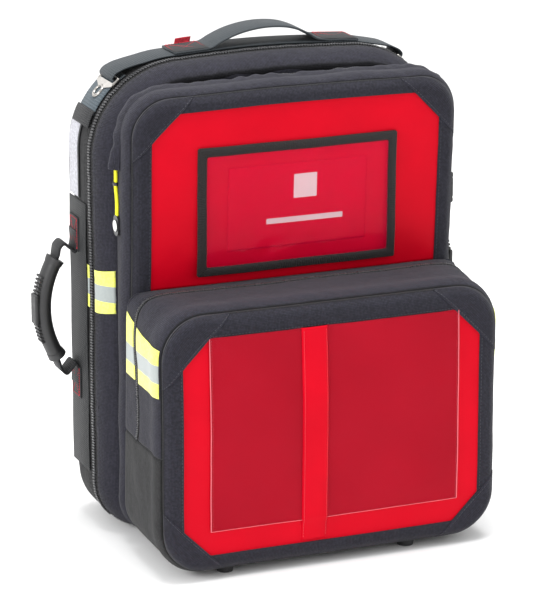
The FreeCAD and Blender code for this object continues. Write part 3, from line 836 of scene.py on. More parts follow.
# ---- front compartment
seamInset = 1.5  # how far in from the outline the front seams run
borderWidth = 24.0
redBox = nodeBox("upper_red_panel")
gussetBox = nodeBox("front_gusset_rear")
upper = {"topRadius": 42.0, "bottomRadius": 42.0, "roll": 5.0, "rollWidth": 9.0, "pillow": 4.0, "puff": 3.2,
         "valley": 3.4, "chamfer": 29.0, "lap": 4.0, "thick": 1.1, "foldLow": 436.0, "foldHigh": 447.0,
         "borderPuff": 1.2, "crown": 2.0}
frontSizes = (gussetBox[1][0], gussetBox[0][2], gussetBox[1][2], upper["topRadius"], upper["bottomRadius"])
frontBackY = gussetBox[1][1]
frontZipY = gussetBox[0][1] - 2
lean = (redBox[1][1] - redBox[0][1] - 0.8) / (redBox[1][2] - redBox[0][2])


def frontPlane(z):
    return redBox[1][1] - lean * (z - redBox[0][2])


def upperFaceY(x, z):
    # the leaning plane, rolled back at the seam and pillowed forward in the middle, with slow waves
    e = np.clip(edgeDistance(x, z, frontSizes) - seamInset, 0, None)
    roll = upper["roll"] * np.clip(1 - e / upper["rollWidth"], 0, 1) ** 2
    pillow = upper["pillow"] * np.cos(np.clip(x / 185, -1, 1) * math.pi / 2)
    pillow = pillow * ease(z, 250, 330) * ease(490 - z, 0, 70)
    return frontPlane(z) + 1.2 + roll - pillow + 0.8 * ripple(x, z, 150, 11) + 0.25 * ripple(x, z, 46, 12)


def upperLift(x, z):
    return upper["crown"] * np.cos(np.clip(x / 175, -1, 1) * math.pi / 2) ** 2 * ease(z, 430, 485)


def frontWall(t, v, lift=0.0):
    # the front compartment's wall from the lid (v 0) to the front seam (v 1), full between two valleys
    v = np.asarray(v, float)[:, None]
    t = np.asarray(t, float)[None]
    x, z, nx, nz = loopPoint(frontSizes, t + 0 * v)
    seam = upperFaceY(x - seamInset * nx, z - seamInset * nz)
    y = frontBackY + v * (seam - frontBackY)
    fromBack = np.abs(y - frontBackY)
    fromSeam = np.abs(y - seam)
    run = np.interp(t, np.arange(10), loopRuns(frontSizes))
    out = upper["puff"] * np.sin(math.pi * np.clip(v, 0, 1)) - upper["valley"] * np.exp(-fromBack / 5)
    out = out - 1.5 * np.exp(-fromSeam / 1.5) - 3.4 * np.exp(-fromSeam / 2.4)
    out = out + 1.6 * np.exp(-((fromSeam - 12) / 9) ** 2)
    out = out + np.exp(-fromSeam / 11) * 0.55 * ripple(run, y * 0.4, 24, 31) * (1 - np.exp(-fromSeam / 1.2))
    zipNear = np.exp(-((y - frontZipY) / 8) ** 2) * ease(z, 380, 430)
    out = out + zipNear * 1.1 * ripple(run, y * 0.6, 17, 32) + 0.8 * ripple(run, y, 90, 33) * np.sin(math.pi
                                                                                                     * v)
    out = out + lift
    return np.stack([x + out * nx, y + 0 * x, z + out * nz + upperLift(x, z)], axis=2)


def octagonPoint(shape, t):
    # the same nine runs as loopPoint, with straight chamfers for the corner arcs
    halfWidth, low, high, top, bottom = shape
    t = np.asarray(t, float)
    x, z, nx, nz = loopPoint(shape, t)
    part = np.minimum(np.floor(t), 8).astype(int)
    f = t - part
    corners = {1: ((halfWidth - bottom, low), (halfWidth, low + bottom)),
               3: ((halfWidth, high - top), (halfWidth - top, high)),
               5: ((top - halfWidth, high), (-halfWidth, high - top)),
               7: ((-halfWidth, low + bottom), (bottom - halfWidth, low))}
    for n, (a, b) in corners.items():
        x = np.where(part == n, a[0] + f * (b[0] - a[0]), x)
        z = np.where(part == n, a[1] + f * (b[1] - a[1]), z)
    return x, z


def facePoints(x, z, faceY, lift, raiseZ=None):
    y = faceY(x, z) - lift
    return np.stack([x, y, z + (raiseZ(x, z) if raiseZ else 0)], axis=-1)


def panelGrid(shape, faceY, lift, grow, spacing, raiseZ=None):
    # the octagon filled row by row, each row as wide as the octagon at that height
    halfWidth, low, high, top, bottom = shape
    z = np.linspace(low - grow, high + grow, int((high - low + 2 * grow) / spacing))
    w = halfWidth + grow - np.clip(z - (high + grow - top), 0, top) - np.clip(low - grow + bottom - z, 0,
                                                                              bottom)
    x = w[:, None] * np.linspace(-1, 1, int(2 * halfWidth / spacing))[None]
    zz = z[:, None] + 0 * x
    return facePoints(x, zz, faceY, lift, raiseZ)


def borderPuff(x, z, sizes, puff):
    # the border is full over its outer width and flat further in
    e = np.clip(edgeDistance(x, z, sizes) - seamInset, 0, borderWidth) / borderWidth
    return puff * np.sin(math.pi * e) * ease(e, 0, 0.25)


def borderRing(t, sizes, inner, faceY, puff, thick, rows, raiseZ=None):
    # from the seam to the octagon's edge, its inner edge turned down on the panel
    outer = shrink(sizes, seamInset)
    rho = np.concatenate([0.955 * np.linspace(0, 1, rows) ** 1.4, [0.985, 1.0, 1.0]])[:, None]
    ox, oz = loopPoint(outer, t)[:2]
    ix, iz = octagonPoint(inner, t)
    x = ox[None] + rho * (ix - ox)[None]
    z = oz[None] + rho * (iz - oz)[None]
    lift = thick + borderPuff(x, z, sizes, puff)
    lift[-2:] = np.array([[thick * 0.55], [-0.4]])
    lift[0] = 0
    return facePoints(x, z, faceY, lift, raiseZ)


def seamWearAndShade(shape):
    # painted shade in the seam, rubbed wear at the folded edge
    wearAndShadeFac = np.zeros(shape)
    wearAndShadeFac[:3] = ((-1,), (-0.8,), (-0.15,))
    wearAndShadeFac[-4:-1] = 0.35
    return wearAndShadeFac


def chamferLine(outer, inner, corner):
    # the chamfer's line, run on at both ends to the seam: start, end and the outline's t there
    n = {"topRight": 3, "topLeft": 5, "bottomLeft": 7, "bottomRight": 1}[corner]
    ax, az = octagonPoint(inner, np.array([n + 0.001]))
    bx, bz = octagonPoint(inner, np.array([n + 0.999]))
    a = np.array([ax[0], az[0]])
    b = np.array([bx[0], bz[0]])
    t = np.linspace(n - 0.9, n + 1.9, 900)
    px, pz = loopPoint(outer, t)[:2]
    d = (b - a) / np.linalg.norm(b - a)
    off = (px - a[0]) * d[1] - (pz - a[1]) * d[0]
    crossings = np.where(np.sign(off[1:]) != np.sign(off[:-1]))[0]
    t0, t1 = t[crossings[0]], t[crossings[-1]]
    start = np.array([px[crossings[0]], pz[crossings[0]]])
    end = np.array([px[crossings[-1]], pz[crossings[-1]]])
    return start, end, t0, t1


def cornerPatch(sizes, inner, corner, faceY, puff, lift, raiseZ=None):
    # reinforcing patch between the chamfer's line and the seam round the corner
    outer = shrink(sizes, seamInset)
    start, end, t0, t1 = chamferLine(outer, inner, corner)
    a = np.linspace(0, 1, 46)
    line = start[None] + a[:, None] * (end - start)[None]
    ox, oz = loopPoint(outer, t0 + a * (t1 - t0))[:2]
    b = np.linspace(0, 1, 16)[:, None]
    x = ox[None] * (1 - b) + b * line[None, :, 0]
    z = oz[None] * (1 - b) + b * line[None, :, 1]
    rise = lift + borderPuff(x, z, sizes, puff)
    rise[0] = 0.3
    markX, markZ = (line + (line - np.stack([ox, oz], axis=1)) * -0.09).T
    mark = facePoints(markX, markZ, faceY, lift + 0.1 + borderPuff(markX, markZ, sizes, puff), raiseZ)
    return facePoints(x, z, faceY, rise, raiseZ), mark


seamThread = (3.6, 2.4, 0.42)  # pitch, length and width of the faces' stitches


def cornerPatches(name, corners, bend, place, lift, raiseZ=None):
    # a patch at each corner, rubbed at its folded edge, and the stitches along it
    sizes, inner, faceY, puff = place
    threads = []
    for corner in corners:
        patch, line = cornerPatch(sizes, inner, corner, faceY, puff, lift, raiseZ)
        rubAndShade = np.linspace(0, 1, patch.shape[0])[:, None] ** 8 * 0.7 + 0 * patch[:, :, 0]
        piece = surfacePiece(name + corner, patch, finish["charcoal"], False, rubAndShade, 0.8)
        dress(piece, "charcoal_nylon", bend)
        threads.append(stitchRow(line, facing(len(line)), *seamThread))
    return threads


def foldPiece(piece):
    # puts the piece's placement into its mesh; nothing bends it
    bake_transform(piece)


def bendUpper(piece):
    foldPiece(piece)


def facing(count):
    return np.broadcast_to(np.array([0.0, -1.0, 0.0]), (count, 3))


def insetLine(inner, by, t):
    # a line parallel to the octagon's edge, by outside it
    halfWidth, low, high, top, bottom = inner
    k = 0.414 * by
    return octagonPoint((halfWidth + by, low - by, high + by, top + k, bottom
                         + k if bottom > 1 else bottom), t)


def buildFront():
    t = ringOf(frontSizes, 3.0)
    zipShare = (frontZipY - frontBackY) / (frontPlane(400) - frontBackY)
    v = np.linspace(-0.02, zipShare, 9)
    # painted shade along its back edge, in the valley where it meets the lid
    rear = surfacePiece("front_gusset_rear_fabric", frontWall(t, v), finish["charcoal"], True,
                        -np.exp(-(v + 0.02) / 0.05)[:, None] + 0 * t, 1.4)
    dress(rear, "charcoal_nylon", "lid", "front_gusset_rear")
    v = np.concatenate([np.linspace(zipShare, 0.9, 16), [0.94, 0.97, 0.985, 1.0]])
    # rubbed wear across the gusset's crown, and painted shade in the rows at the front seam
    rubAndShade = (0.35 * np.exp(-np.abs(v - 0.72) / 0.12) - 1.0 * (v > 0.965))[:, None] + 0 * t
    wall = surfacePiece("front_gusset_fabric", frontWall(t, v), finish["charcoal"], True, rubAndShade, 1.4)
    dress(wall, "charcoal_nylon", bendUpper, "front_gusset", "front_flap_gusset")
    # backing, border and corner patches
    z = np.linspace(frontSizes[1] + 3, frontSizes[2] - 3, 110)
    x, zz = filledRows(widthAt(shrink(frontSizes, 3), np.clip(z, z[0] + 0.01, z[-1] - 0.01)), z, 80)
    backing = surfacePiece("front_panel_fabric", facePoints(x, zz, upperFaceY, -0.9, upperLift),
                           finish["charcoal"],
                           thickness=1.2)
    dress(backing, "charcoal_nylon", bendUpper, "front_panel", "front_flap_panel")
    octagon = (redBox[1][0], redBox[0][2] - 2, redBox[1][2], upper["chamfer"], 0.5)
    ringShape = (redBox[1][0], frontSizes[1] + 23, redBox[1][2], upper["chamfer"], 0.5)
    red = surfacePiece("upper_red_fabric", panelGrid(octagon, upperFaceY, 0.1, upper["lap"], 3.0, upperLift),
                       finish["red"], thickness=0.8)
    dress(red, "red_tarpaulin", bendUpper, "upper_red_panel")
    top = loopSamples(frontSizes, 3.0, heightToLoop(frontSizes, 240), 9 - heightToLoop(frontSizes, 240))[0]
    ring = borderRing(top, frontSizes, ringShape, upperFaceY, upper["borderPuff"], upper["thick"], 15,
                      upperLift)
    border = surfacePiece("upper_border_fabric", ring, finish["charcoal"], False, seamWearAndShade(ring.shape[:2]),
                          0.8)
    dress(border, "charcoal_nylon", bendUpper)
    place = (frontSizes, ringShape, upperFaceY, upper["borderPuff"])
    threads = cornerPatches("upper_patch_", ("topLeft", "topRight"), bendUpper, place, upper["thick"] + 0.9,
                            upperLift)
    edge = insetLine(ringShape, 2.2, top)
    keep = edge[1] > redBox[0][2] - 6
    line = facePoints(edge[0][keep], edge[1][keep], upperFaceY, upper["thick"] + 0.7, upperLift)
    threads.append(stitchRow(line, facing(len(line)), *seamThread))
    thread = partsPiece("upper_stitching", threads, "greyThread")
    dress(thread, "charcoal_nylon", bendUpper)
    buildCardWindow()
    buildPocketZipper("front", frontWallAt, frontSizes, frontZipY, 410.0, bendUpper, "pocket_zipper_tapes")
    buildStormFlap()


def frontWallAt(t, y, lift=0.0):
    # the front compartment's wall at one depth for each t
    x, z, nx, nz = loopPoint(frontSizes, np.asarray(t, float))
    seam = upperFaceY(x - seamInset * nx, z - seamInset * nz)
    return betweenRows(frontWall(t, np.linspace(0, 1, 60), lift), (y - frontBackY) / (seam - frontBackY))


pocketZip = {"rows": ((4.2, -0.9), (2.8, 0.0), (1.2, 0.3), (0.15, -0.5)), "cloth": 0.6, "toothPitch": 2.4,
             "tooth": (0.7, 1.15, 0.8), "shift": 0.5, "reach": 0.9, "seam": 5.2}


def buildPocketZipper(name, wallAt, sizes, zipY, low, bend, *replaced):
    # a narrow zip in the wall: two tapes, each with a row of fine teeth, from side to side over the top
    a = heightToLoop(sizes, low)
    t = loopSamples(sizes, 3.0, a, 9 - a)[0]
    depth = zipY + 0 * t if isinstance(zipY, float) else zipY(t)
    normal = outlineNormal(sizes, t)
    for side, part, moves, nodes in ((1, "rear", "lid", replaced), (-1, "front", bend, ())):
        rows = np.stack([wallAt(t, depth + side * d, lift) for d, lift in pocketZip["rows"]])
        tape = surfacePiece(name + "_zip_tape_" + part, rows[::side], finish["zipTape"],
                            thickness=pocketZip["cloth"])
        dress(tape, "zipper_black", moves, *nodes)
        line = wallAt(t, depth + side * pocketZip["reach"], pocketZip["reach"])
        at, along, s = alongPath(line, pocketZip["toothPitch"])
        teeth = copiesAt(cubeShape, cubeQuads, None, at + along * pocketZip["shift"] * side, along,
                         interpVectors(normal, line, s), pocketZip["tooth"])
        dress(partsPiece(name + "_zip_coil_" + part, [teeth], "coil"), "zipper_black", moves)
        row = wallAt(t, depth + side * pocketZip["seam"], 0.2)
        thread = partsPiece(name + "_zip_stitch_" + part, [stitchRow(row, normal, 4.0, 2.6, 0.45)],
                            "greyThread")
        dress(thread, "zipper_black", moves)


storm = {"back": 7.0, "front": 12.0, "height": 2.4, "mouth": 8.0, "mouthRun": 30.0, "pucker": 0.6,
         "low": 411.0}


def buildStormFlap():
    # an arched strip over the zip, gathered along its length and flaring to a hood at each end
    a = heightToLoop(frontSizes, storm["low"])
    t, s = loopSamples(frontSizes, 1.6, a, 9 - a)
    run = s - s[0]
    fromEnd = np.minimum(run, run[-1] - run)
    flare = np.exp(-(fromEnd / storm["mouthRun"]) ** 2)
    v = np.linspace(0, 1, 15)
    rows = []
    for share in v:
        y = frontZipY + storm["back"] * (1 + 0.25 * flare)
        y = y - share * (storm["back"] + storm["front"] * (1 + 0.1 * flare))
        y = y + (1 - share) * 0.9 * ripple(run, 3.0, 55, 42)
        arch = np.sin(math.pi * share**0.85)
        gather = storm["pucker"] * arch * ripple(run, share * 14, 42, 41) * (1 - 0.5 * flare)
        lift = -0.3 + (storm["height"] + storm["mouth"] * flare) * arch + gather
        rows.append(frontWallAt(t, y, lift))
    piece = surfacePiece("storm_flap_fabric", np.stack(rows), finish["charcoal"], False,
                         (np.sin(math.pi * v)[:, None] ** 6) * 0.4 + 0 * run, 0.9)
    dress(piece, "charcoal_nylon", "lid", "front_storm_flap")


cardBox = nodeBox("id_window_binding")
windowInner = nodeBox("id_window")
cardNode = nodeBox("id_card")
cardWindow = {"stand": 2.6, "sag": 3.0, "crinkle": 0.9}


def buildCardWindow():
    x0, z0, x1, z1 = cardBox[0][0], cardBox[0][2], cardBox[1][0], cardBox[1][2]
    middle, halfHeight = (z0 + z1) / 2, (z1 - z0) / 2

    def standOff(x, z):
        # the frame stands off the panel, most at its lower edge
        return cardWindow["stand"] + cardWindow["sag"] * ease(z1 - z, 20, z1 - z0) + 0.5 * ripple(x, z, 90,
                                                                                                  52)

    border = windowInner[0][0] - x0
    t = ringOf((x1, z0, z1, 1.2, 1.2), 2.5)
    rows = []
    for inset, lift in ((0, -2.4), (0, -0.2), (0.8, 0.9), (border / 2, 1.2), (border - 0.8, 0.9),
                        (border, 0.1),
                        (border, -1.4)):
        x, z = loopPoint((x1 - inset, z0 + inset, z1 - inset, 1.2, 1.2), t)[:2]
        rows.append(facePoints(x, z, upperFaceY, standOff(x, z) + lift))
    binding = surfacePiece("card_window_binding", np.stack(rows), finish["binding"], True)
    dress(binding, "black_binding", "lid", "id_window_binding")
    threads = []
    for inset in (1.6, border - 1.6):
        x, z = loopPoint((x1 - inset, z0 + inset, z1 - inset, 1.2, 1.2), t)[:2]
        line = facePoints(x, z, upperFaceY, standOff(x, z) + 1.1)
        threads.append(stitchRow(line, facing(len(line)), 3.4, 2.3, 0.45, True))
    thread = partsPiece("card_window_stitching", threads, "blackThread")
    dress(thread, "black_binding", "lid")
    x, z = np.meshgrid(np.linspace(x0 + border - 2, x1 - border + 2, 120),
                       np.linspace(z0 + border - 2, z1 - border + 2, 78))
    inside = np.clip(np.minimum(x1 - border - np.abs(x), halfHeight - border - np.abs(z - middle)) / 14, 0,
                     1)
    crinkle = cardWindow["crinkle"] * inside * (np.abs(ripple(x, z, 42, 61)) - 0.6 + 0.4
                                                * ripple(x, z, 19, 62))
    lift = standOff(x, z) + 0.1 + crinkle + 0.9 * inside
    film = surfacePiece("card_window_film", facePoints(x, z, upperFaceY, lift), finish["clear"])
    dress(film, "clear_film", "lid", "id_window")
    (left, _, low), (right, _, high) = cardNode
    x, z = np.meshgrid(np.linspace(left, right, 60), np.linspace(low, high, 40))
    card = surfacePiece("card_sheet", facePoints(x, z, upperFaceY, 1.0 + 0.4 * ripple(x, z, 80, 63)),
                        finish["card"],
                        thickness=0.4)
    dress(card, "card_paper", "lid", "id_card")
    bars = []
    for bx, bz, w, h in cardMarks:
        gx, gz = np.meshgrid(np.linspace(bx - w / 2, bx + w / 2, 24), np.linspace(bz - h / 2, bz + h / 2, 5))
        bars.append(gridPart(facePoints(gx, gz, upperFaceY, 1.35 + 0.4 * ripple(gx, gz, 80, 63))))
    marks = partsPiece("card_marks", bars, "print")
    dress(marks, "card_paper", "lid")


cardMarks = [(8.0, 348.0, 86.0, 6.0), (8.0, 384.0, 26.0,
                                       26.0)]  # centre X, centre Z, width, height of plain blocks


# ---- lower pocket
tubBox = nodeBox("lower_tub")
lowerRedBox = nodeBox("lower_red_panel")
windowBox = nodeBox("clear_windows")
lowerGusset = nodeBox("lower_flap_gusset")
lower = {"radius": 47.0, "squareness": 0.66, "roll": 5.5, "rollWidth": 9.0, "pillow": 5.0, "valley": 3.8,
         "rollOut": 2.6, "topSwell": 3.0, "sideSwell": 1.6, "chamfer": 29.0, "thick": 1.1,
         "borderPuff": 1.4, "seamZ": 135.0, "zipShift": 10.0,
         "gussetFoldLow": 136.0, "gussetFoldHigh": 158.0, "faceFoldLow": 118.0, "faceFoldHigh": 152.0,
         "windowLow": 53.0, "lap": 4.0}
lowerSizes = (lowerGusset[1][0], tubBox[0][2], lowerGusset[1][2], lower["radius"], lower["radius"])
lowerFrontY = nodeBox("lower_front_panel")[0][1]
lowerZipY = lowerGusset[1][1] + 0.4
windowEdges = (windowBox[0][0], windowBox[1][0])
stripEdges = (-37.0, -7.5)


def lowerFaceY(x, z):
    # the flat front, rolled back at the seam and sagging forward a little below its middle, with slow waves
    e = np.clip(edgeDistance(x, z, lowerSizes) - seamInset, 0, None)
    roll = lower["roll"] * np.clip(1 - e / lower["rollWidth"], 0, 1) ** 2
    share = np.clip((z - lowerSizes[1]) / (lowerSizes[2] - lowerSizes[1]), 0, 1)
    pillow = lower["pillow"] * np.cos(np.clip(x / 190, -1, 1) * math.pi / 2) ** 0.8 * np.sin(math.pi
                                                                                             * share**0.85)
    return lowerFrontY + 1.6 + roll - pillow + 0.9 * ripple(x, z, 160, 71) + 0.3 * ripple(x, z, 52, 72)


def lowerZip(t):
    # the zip's depth: at the back over the top, further forward down the sides
    z = loopPoint(lowerSizes, np.asarray(t, float))[1]
    return lowerZipY + lower["zipShift"] * ease(z, 200, 284)


def squareTop(x, z, power):
    # the top corners' arcs pushed out to a squarer curve: the arc's cosine and sine raised to a power
    radius = lower["radius"]
    cornerX, cornerZ = lowerSizes[0] - radius, lowerSizes[2] - radius
    across = np.clip((np.abs(x) - cornerX) / radius, 0, 1)
    up = np.clip((z - cornerZ) / radius, 0, 1)
    inside = (across > 0) & (up > 0)
    return (np.where(inside, np.sign(x) * (cornerX + radius * across**power), x),
            np.where(inside, cornerZ + radius * up**power, z))


def lowerWall(t, v, lift=0.0):
    # the lower pocket's wall from the front compartment (v 0) to the front seam (v 1)
    v = np.asarray(v, float)[:, None]
    t = np.asarray(t, float)[None]
    x, z, nx, nz = loopPoint(lowerSizes, t + 0 * v)
    seam = lowerFaceY(x - seamInset * nx, z - seamInset * nz)
    x, z = squareTop(x, z, 1 - lower["squareness"] * np.clip(1 - v, 0, 1) ** 1.5)
    back = frontPlane(z) - 0.6
    y = back + v * (seam - back)
    fromSeam = np.abs(y - seam)
    run = np.interp(t, np.arange(10), loopRuns(lowerSizes))
    high = ease(z, 230, 284)
    swell = lower["sideSwell"] + (lower["topSwell"] - lower["sideSwell"]) * high
    out = swell * np.sin(math.pi * np.clip(v, 0, 1)) + lower["rollOut"] * np.exp(-((fromSeam - 14)
                                                                                   / 11) ** 2)
    out = out - lower["valley"] * np.exp(-fromSeam / 2.4)
    zipNear = np.exp(-((y - lowerZip(t + 0 * v)) / 5) ** 2) * ease(z, 132, 150)
    pucker = 0.5 * np.exp(-fromSeam / 12) * ripple(run, y * 0.4, 26, 73) * (1 - np.exp(-fromSeam / 1.2))
    waves = 0.9 * ripple(run, y, 85, 74) + 0.35 * ripple(run, y, 30, 75)
    out = out - 1.4 * zipNear + pucker + waves * np.sin(math.pi * v)
    out = out - 1.2 * np.exp(-((z - lower["seamZ"]) / 2.2) ** 2) * (np.abs(nx) > 0.5) + lift
    return np.stack([x + out * nx, y + 0 * x, z + out * nz], axis=2)


def lowerDepths(t):
    # where the pocket's wall starts at the back and ends at the seam
    x, z, nx, nz = loopPoint(lowerSizes, np.asarray(t, float))
    return frontPlane(z) - 0.6, lowerFaceY(x - seamInset * nx, z - seamInset * nz)


def lowerWallAt(t, y, lift=0.0):
    # the lower pocket's wall at one depth for each t
    back, seam = lowerDepths(t)
    return betweenRows(lowerWall(t, np.linspace(0, 1, 80), lift), (y - back) / (seam - back))


def lowerStrip(t, shares, fromZip, lift=0.0):
    # rows between the zip and the seam, or between the back and the zip, each row the same share of the way
    back, seam = lowerDepths(t)
    zipY = lowerZip(t)
    rows = []
    for share in shares:
        y = zipY + share * (seam - zipY) if fromZip else back + share * (zipY - back)
        rows.append(lowerWallAt(t, y, lift))
    return np.stack(rows)


def bendFace(piece):
    foldPiece(piece)


def bendWall(piece):
    foldPiece(piece)


def buildLower():
    a = heightToLoop(lowerSizes, lower["seamZ"])
    t = loopSamples(lowerSizes, 2.8, a, 9 - a)[0]
    rear = surfacePiece("lower_gusset_rear_fabric", lowerStrip(t, np.linspace(0, 0.93, 12), False),
                        finish["charcoal"], thickness=1.4)
    dress(rear, "charcoal_nylon", "lid", "lower_gusset_rear")
    shares = np.concatenate([[0.026], np.linspace(0.05, 0.9, 22), [0.93, 0.955, 0.972, 0.986, 1.0]])
    # rubbed wear across the gusset's crown, and painted shade in the rows at the front seam
    rubAndShade = (0.35 * np.exp(-np.abs(shares - 0.78) / 0.12) - 1.0 * (shares > 0.965))[:, None] + 0 * t
    front = surfacePiece("lower_gusset_front_fabric", lowerStrip(t, shares, True), finish["charcoal"],
                         False, rubAndShade, 1.4)
    dress(front, "charcoal_nylon", bendWall, "lower_flap_gusset")
    below = [loopSamples(lowerSizes, 3.2, 9 - a, 9)[0][:-1], loopSamples(lowerSizes, 3.2, 0, a)[0]]
    v = np.concatenate([np.linspace(0, 0.92, 34), [0.945, 0.965, 0.98, 0.99, 1.0]])
    t = np.concatenate(below)
    # painted shade in the rows at the front seam
    tub = surfacePiece("lower_tub_fabric", lowerWall(t, v), finish["grey"], False,
                       (v[:, None] > 0.97) * -1.0 * np.ones(len(t)), 1.6)
    dress(tub, "grey_nylon", "lid", "lower_tub")
    # back wall, closing the pocket where it is wider than the compartment behind
    z = np.linspace(lowerSizes[1] + 1.01, lowerSizes[2] - 1.01, 60)
    x, zz = filledRows(widthAt(lowerSizes[:3] + (14.0, lower["radius"]), z) - 1, z, 50)
    inner = surfacePiece("lower_back_fabric", np.stack([x, frontPlane(zz) - 2.6, zz], axis=2),
                         finish["charcoal"],
                         thickness=1.2)
    dress(inner, "charcoal_nylon", "lid")
    # front face
    z = np.linspace(lowerSizes[1] + 3.01, lowerSizes[2] - 3.01, 92)
    x, zz = filledRows(widthAt(shrink(lowerSizes, 3), z), z, 84)
    backing = surfacePiece("lower_panel_fabric", facePoints(x, zz, lowerFaceY, -1.0), finish["charcoal"],
                           thickness=1.2)
    dress(backing, "charcoal_nylon", bendFace, "lower_front_panel", "lower_flap_panel")
    octagon = (lowerRedBox[1][0], lowerRedBox[0][2], lowerRedBox[1][2], lower["chamfer"], lower["chamfer"])
    red = surfacePiece("lower_red_fabric", panelGrid(octagon, lowerFaceY, 0.1, lower["lap"], 2.8),
                       finish["red"],
                       thickness=0.8)
    dress(red, "red_tarpaulin", bendFace, "lower_red_panel")
    t = ringOf(lowerSizes, 2.8)
    ring = borderRing(t, lowerSizes, octagon, lowerFaceY, lower["borderPuff"], lower["thick"], 15)
    border = surfacePiece("lower_border_fabric", ring, finish["charcoal"], True, seamWearAndShade(ring.shape[:2]),
                          0.8)
    dress(border, "charcoal_nylon", bendFace)
    place = (lowerSizes, octagon, lowerFaceY, lower["borderPuff"])
    threads = cornerPatches("lower_patch_", ("topLeft", "topRight", "bottomLeft", "bottomRight"), bendFace,
                            place,
                            lower["thick"] + 0.9)
    ex, ez = insetLine(octagon, 2.2, t)
    line = facePoints(ex, ez, lowerFaceY, lower["thick"] + 0.8)
    threads.append(stitchRow(line, facing(len(line)), *seamThread, True))
    thread = partsPiece("lower_stitching", threads, "greyThread")
    dress(thread, "charcoal_nylon", bendFace)
    buildWindows(octagon)
    buildPocketZipper("lower", lowerWallAt, lowerSizes, lowerZip, lower["seamZ"] + 2, bendWall)


windows = {"film": 1.6, "sag": 2.4, "weld": 1.1}


def windowFilm(x, z, x0, x1, z0):
    # the film hangs free of the panel between its welded edges, and gapes a little at its open top
    inside = np.clip(np.minimum(x - x0, x1 - x) / 22, 0, 1) * np.clip((z - z0) / 22, 0, 1)
    return windows["film"] + windows["sag"] * ease(inside, 0, 1) + 0.7 * inside * ripple(x, z, 95, 81)


def buildWindows(octagon):
    z0, z1 = lower["windowLow"], octagon[2]
    films = []
    welds = []
    pale = []
    for x0, x1, free in ((windowEdges[0], stripEdges[0] + 1, -1), (stripEdges[1] - 1, windowEdges[1], 1)):
        x, z = np.meshgrid(np.linspace(x0, x1, 56), np.linspace(z0, z1 + 1, 84))
        films.append(gridPart(facePoints(x, z, lowerFaceY, windowFilm(x, z, x0, x1, z0))))
        side = x0 if free < 0 else x1
        zs = np.linspace(z0, z1, 90)
        edge = facePoints(np.full(90, side), zs, lowerFaceY, windows["film"] + 0.2)
        welds.append(closedSweep(edge, (1, 0, 0), flatSection(windows["weld"], 0.8)))
        xs = np.linspace(x0, x1, 60)
        edge = facePoints(xs, np.full(60, z0), lowerFaceY, windows["film"] + 0.1)
        welds.append(closedSweep(edge, (0, 0, 1), flatSection(windows["weld"] * 0.6, 0.7)))
        line = facePoints(np.full(90, side - free * 2.0), zs, lowerFaceY, windows["film"] + 0.3)
        pale.append(stitchRow(line, facing(90), 3.2, 1.6, 0.4))
    film = partsPiece("lower_window_film", films, "frosted")
    dress(film, "frosted_film", bendFace, "clear_windows")
    weld = partsPiece("lower_window_welds", welds, "paleThread")
    dress(weld, "frosted_film", bendFace)
    a, b = stripEdges
    x, z = np.meshgrid(np.linspace(a, b, 16), np.linspace(octagon[1] + 3, z1 + 1, 90))
    across = np.abs(2 * (x - a) / (b - a) - 1)
    high = ease(z, z0 - 8, z0 + 2)
    points = facePoints(x, z, lowerFaceY, 1.2 + 1.8 * high + 0.5 * (1 - across**6))
    points[:, 0] += (0, 1.6, 0)
    points[:, -1] += (0, 1.6, 0)
    strip = surfacePiece("lower_centre_strip", points, finish["red"], thickness=0.7)
    dress(strip, "red_tarpaulin", bendFace)
    for x0 in (a + 2.2, b - 2.2):
        zs = np.linspace(octagon[1] + 5, z1 - 1, 90)
        line = facePoints(np.full(90, x0), zs, lowerFaceY, 1.6 + 1.9 * ease(zs, z0 - 8, z0 + 2))
        pale.append(stitchRow(line, facing(90), 3.2, 1.9, 0.45))
    thread = partsPiece("lower_window_stitching", pale, "paleThread")
    dress(thread, "red_tarpaulin", bendFace)


# ---- reflective bands
bands = {"lift": 0.9, "thick": 0.5}
mainBand = nodeBox("rear_reflective_trim")
flapBand = nodeBox("flap_reflective_bands")


def buildBands():
    lowZ, highZ = mainBand[0][2], 291.0
    finish["band"] = bandMaterial("reflective_band", lowZ, highZ)
    finish["lowBand"] = bandMaterial("reflective_band_low", flapBand[0][2], flapBand[1][2])
    rearDepths = np.linspace(shellBackY - 1, partingY + 9.6, 16)
    lidDepths = np.linspace(partingY - 9.0, lidFrontY + 3, 14)
    bandSets = (
        ("rear_side_bands", "band", "pack_body", ["rear_reflective_trim"],
         lambda t: shellWall(t, rearDepths, bands["lift"])),
        ("lid_side_bands", "band", "lid", ["lid_reflective_bands"],
         lambda t: shellWall(t, lidDepths, bands["lift"])),
        ("pocket_bands_rear", "lowBand", "lid", [],
         lambda t: lowerStrip(t, np.linspace(0.10, 0.86, 10), False, bands["lift"])),
        ("pocket_bands_front", "lowBand", "lower_flap", ["flap_reflective_bands"],
         lambda t: lowerStrip(t, np.linspace(0.09, 0.955, 20), True, bands["lift"])))
    for name, colour, body, replaced, rows in bandSets:
        if colour == "band":
            sizes, low, high = shellSizes, lowZ, highZ
        else:
            sizes, low, high = lowerSizes, flapBand[0][2], flapBand[1][2]
        parts = [gridPart(rows(sideLoop(sizes, low, high, 2.2, side))) for side in (1, -1)]
        piece = partsPiece(name, parts, colour)
        thicken(piece, bands["thick"])
        dress(piece, "reflective_tape", body, *replaced)


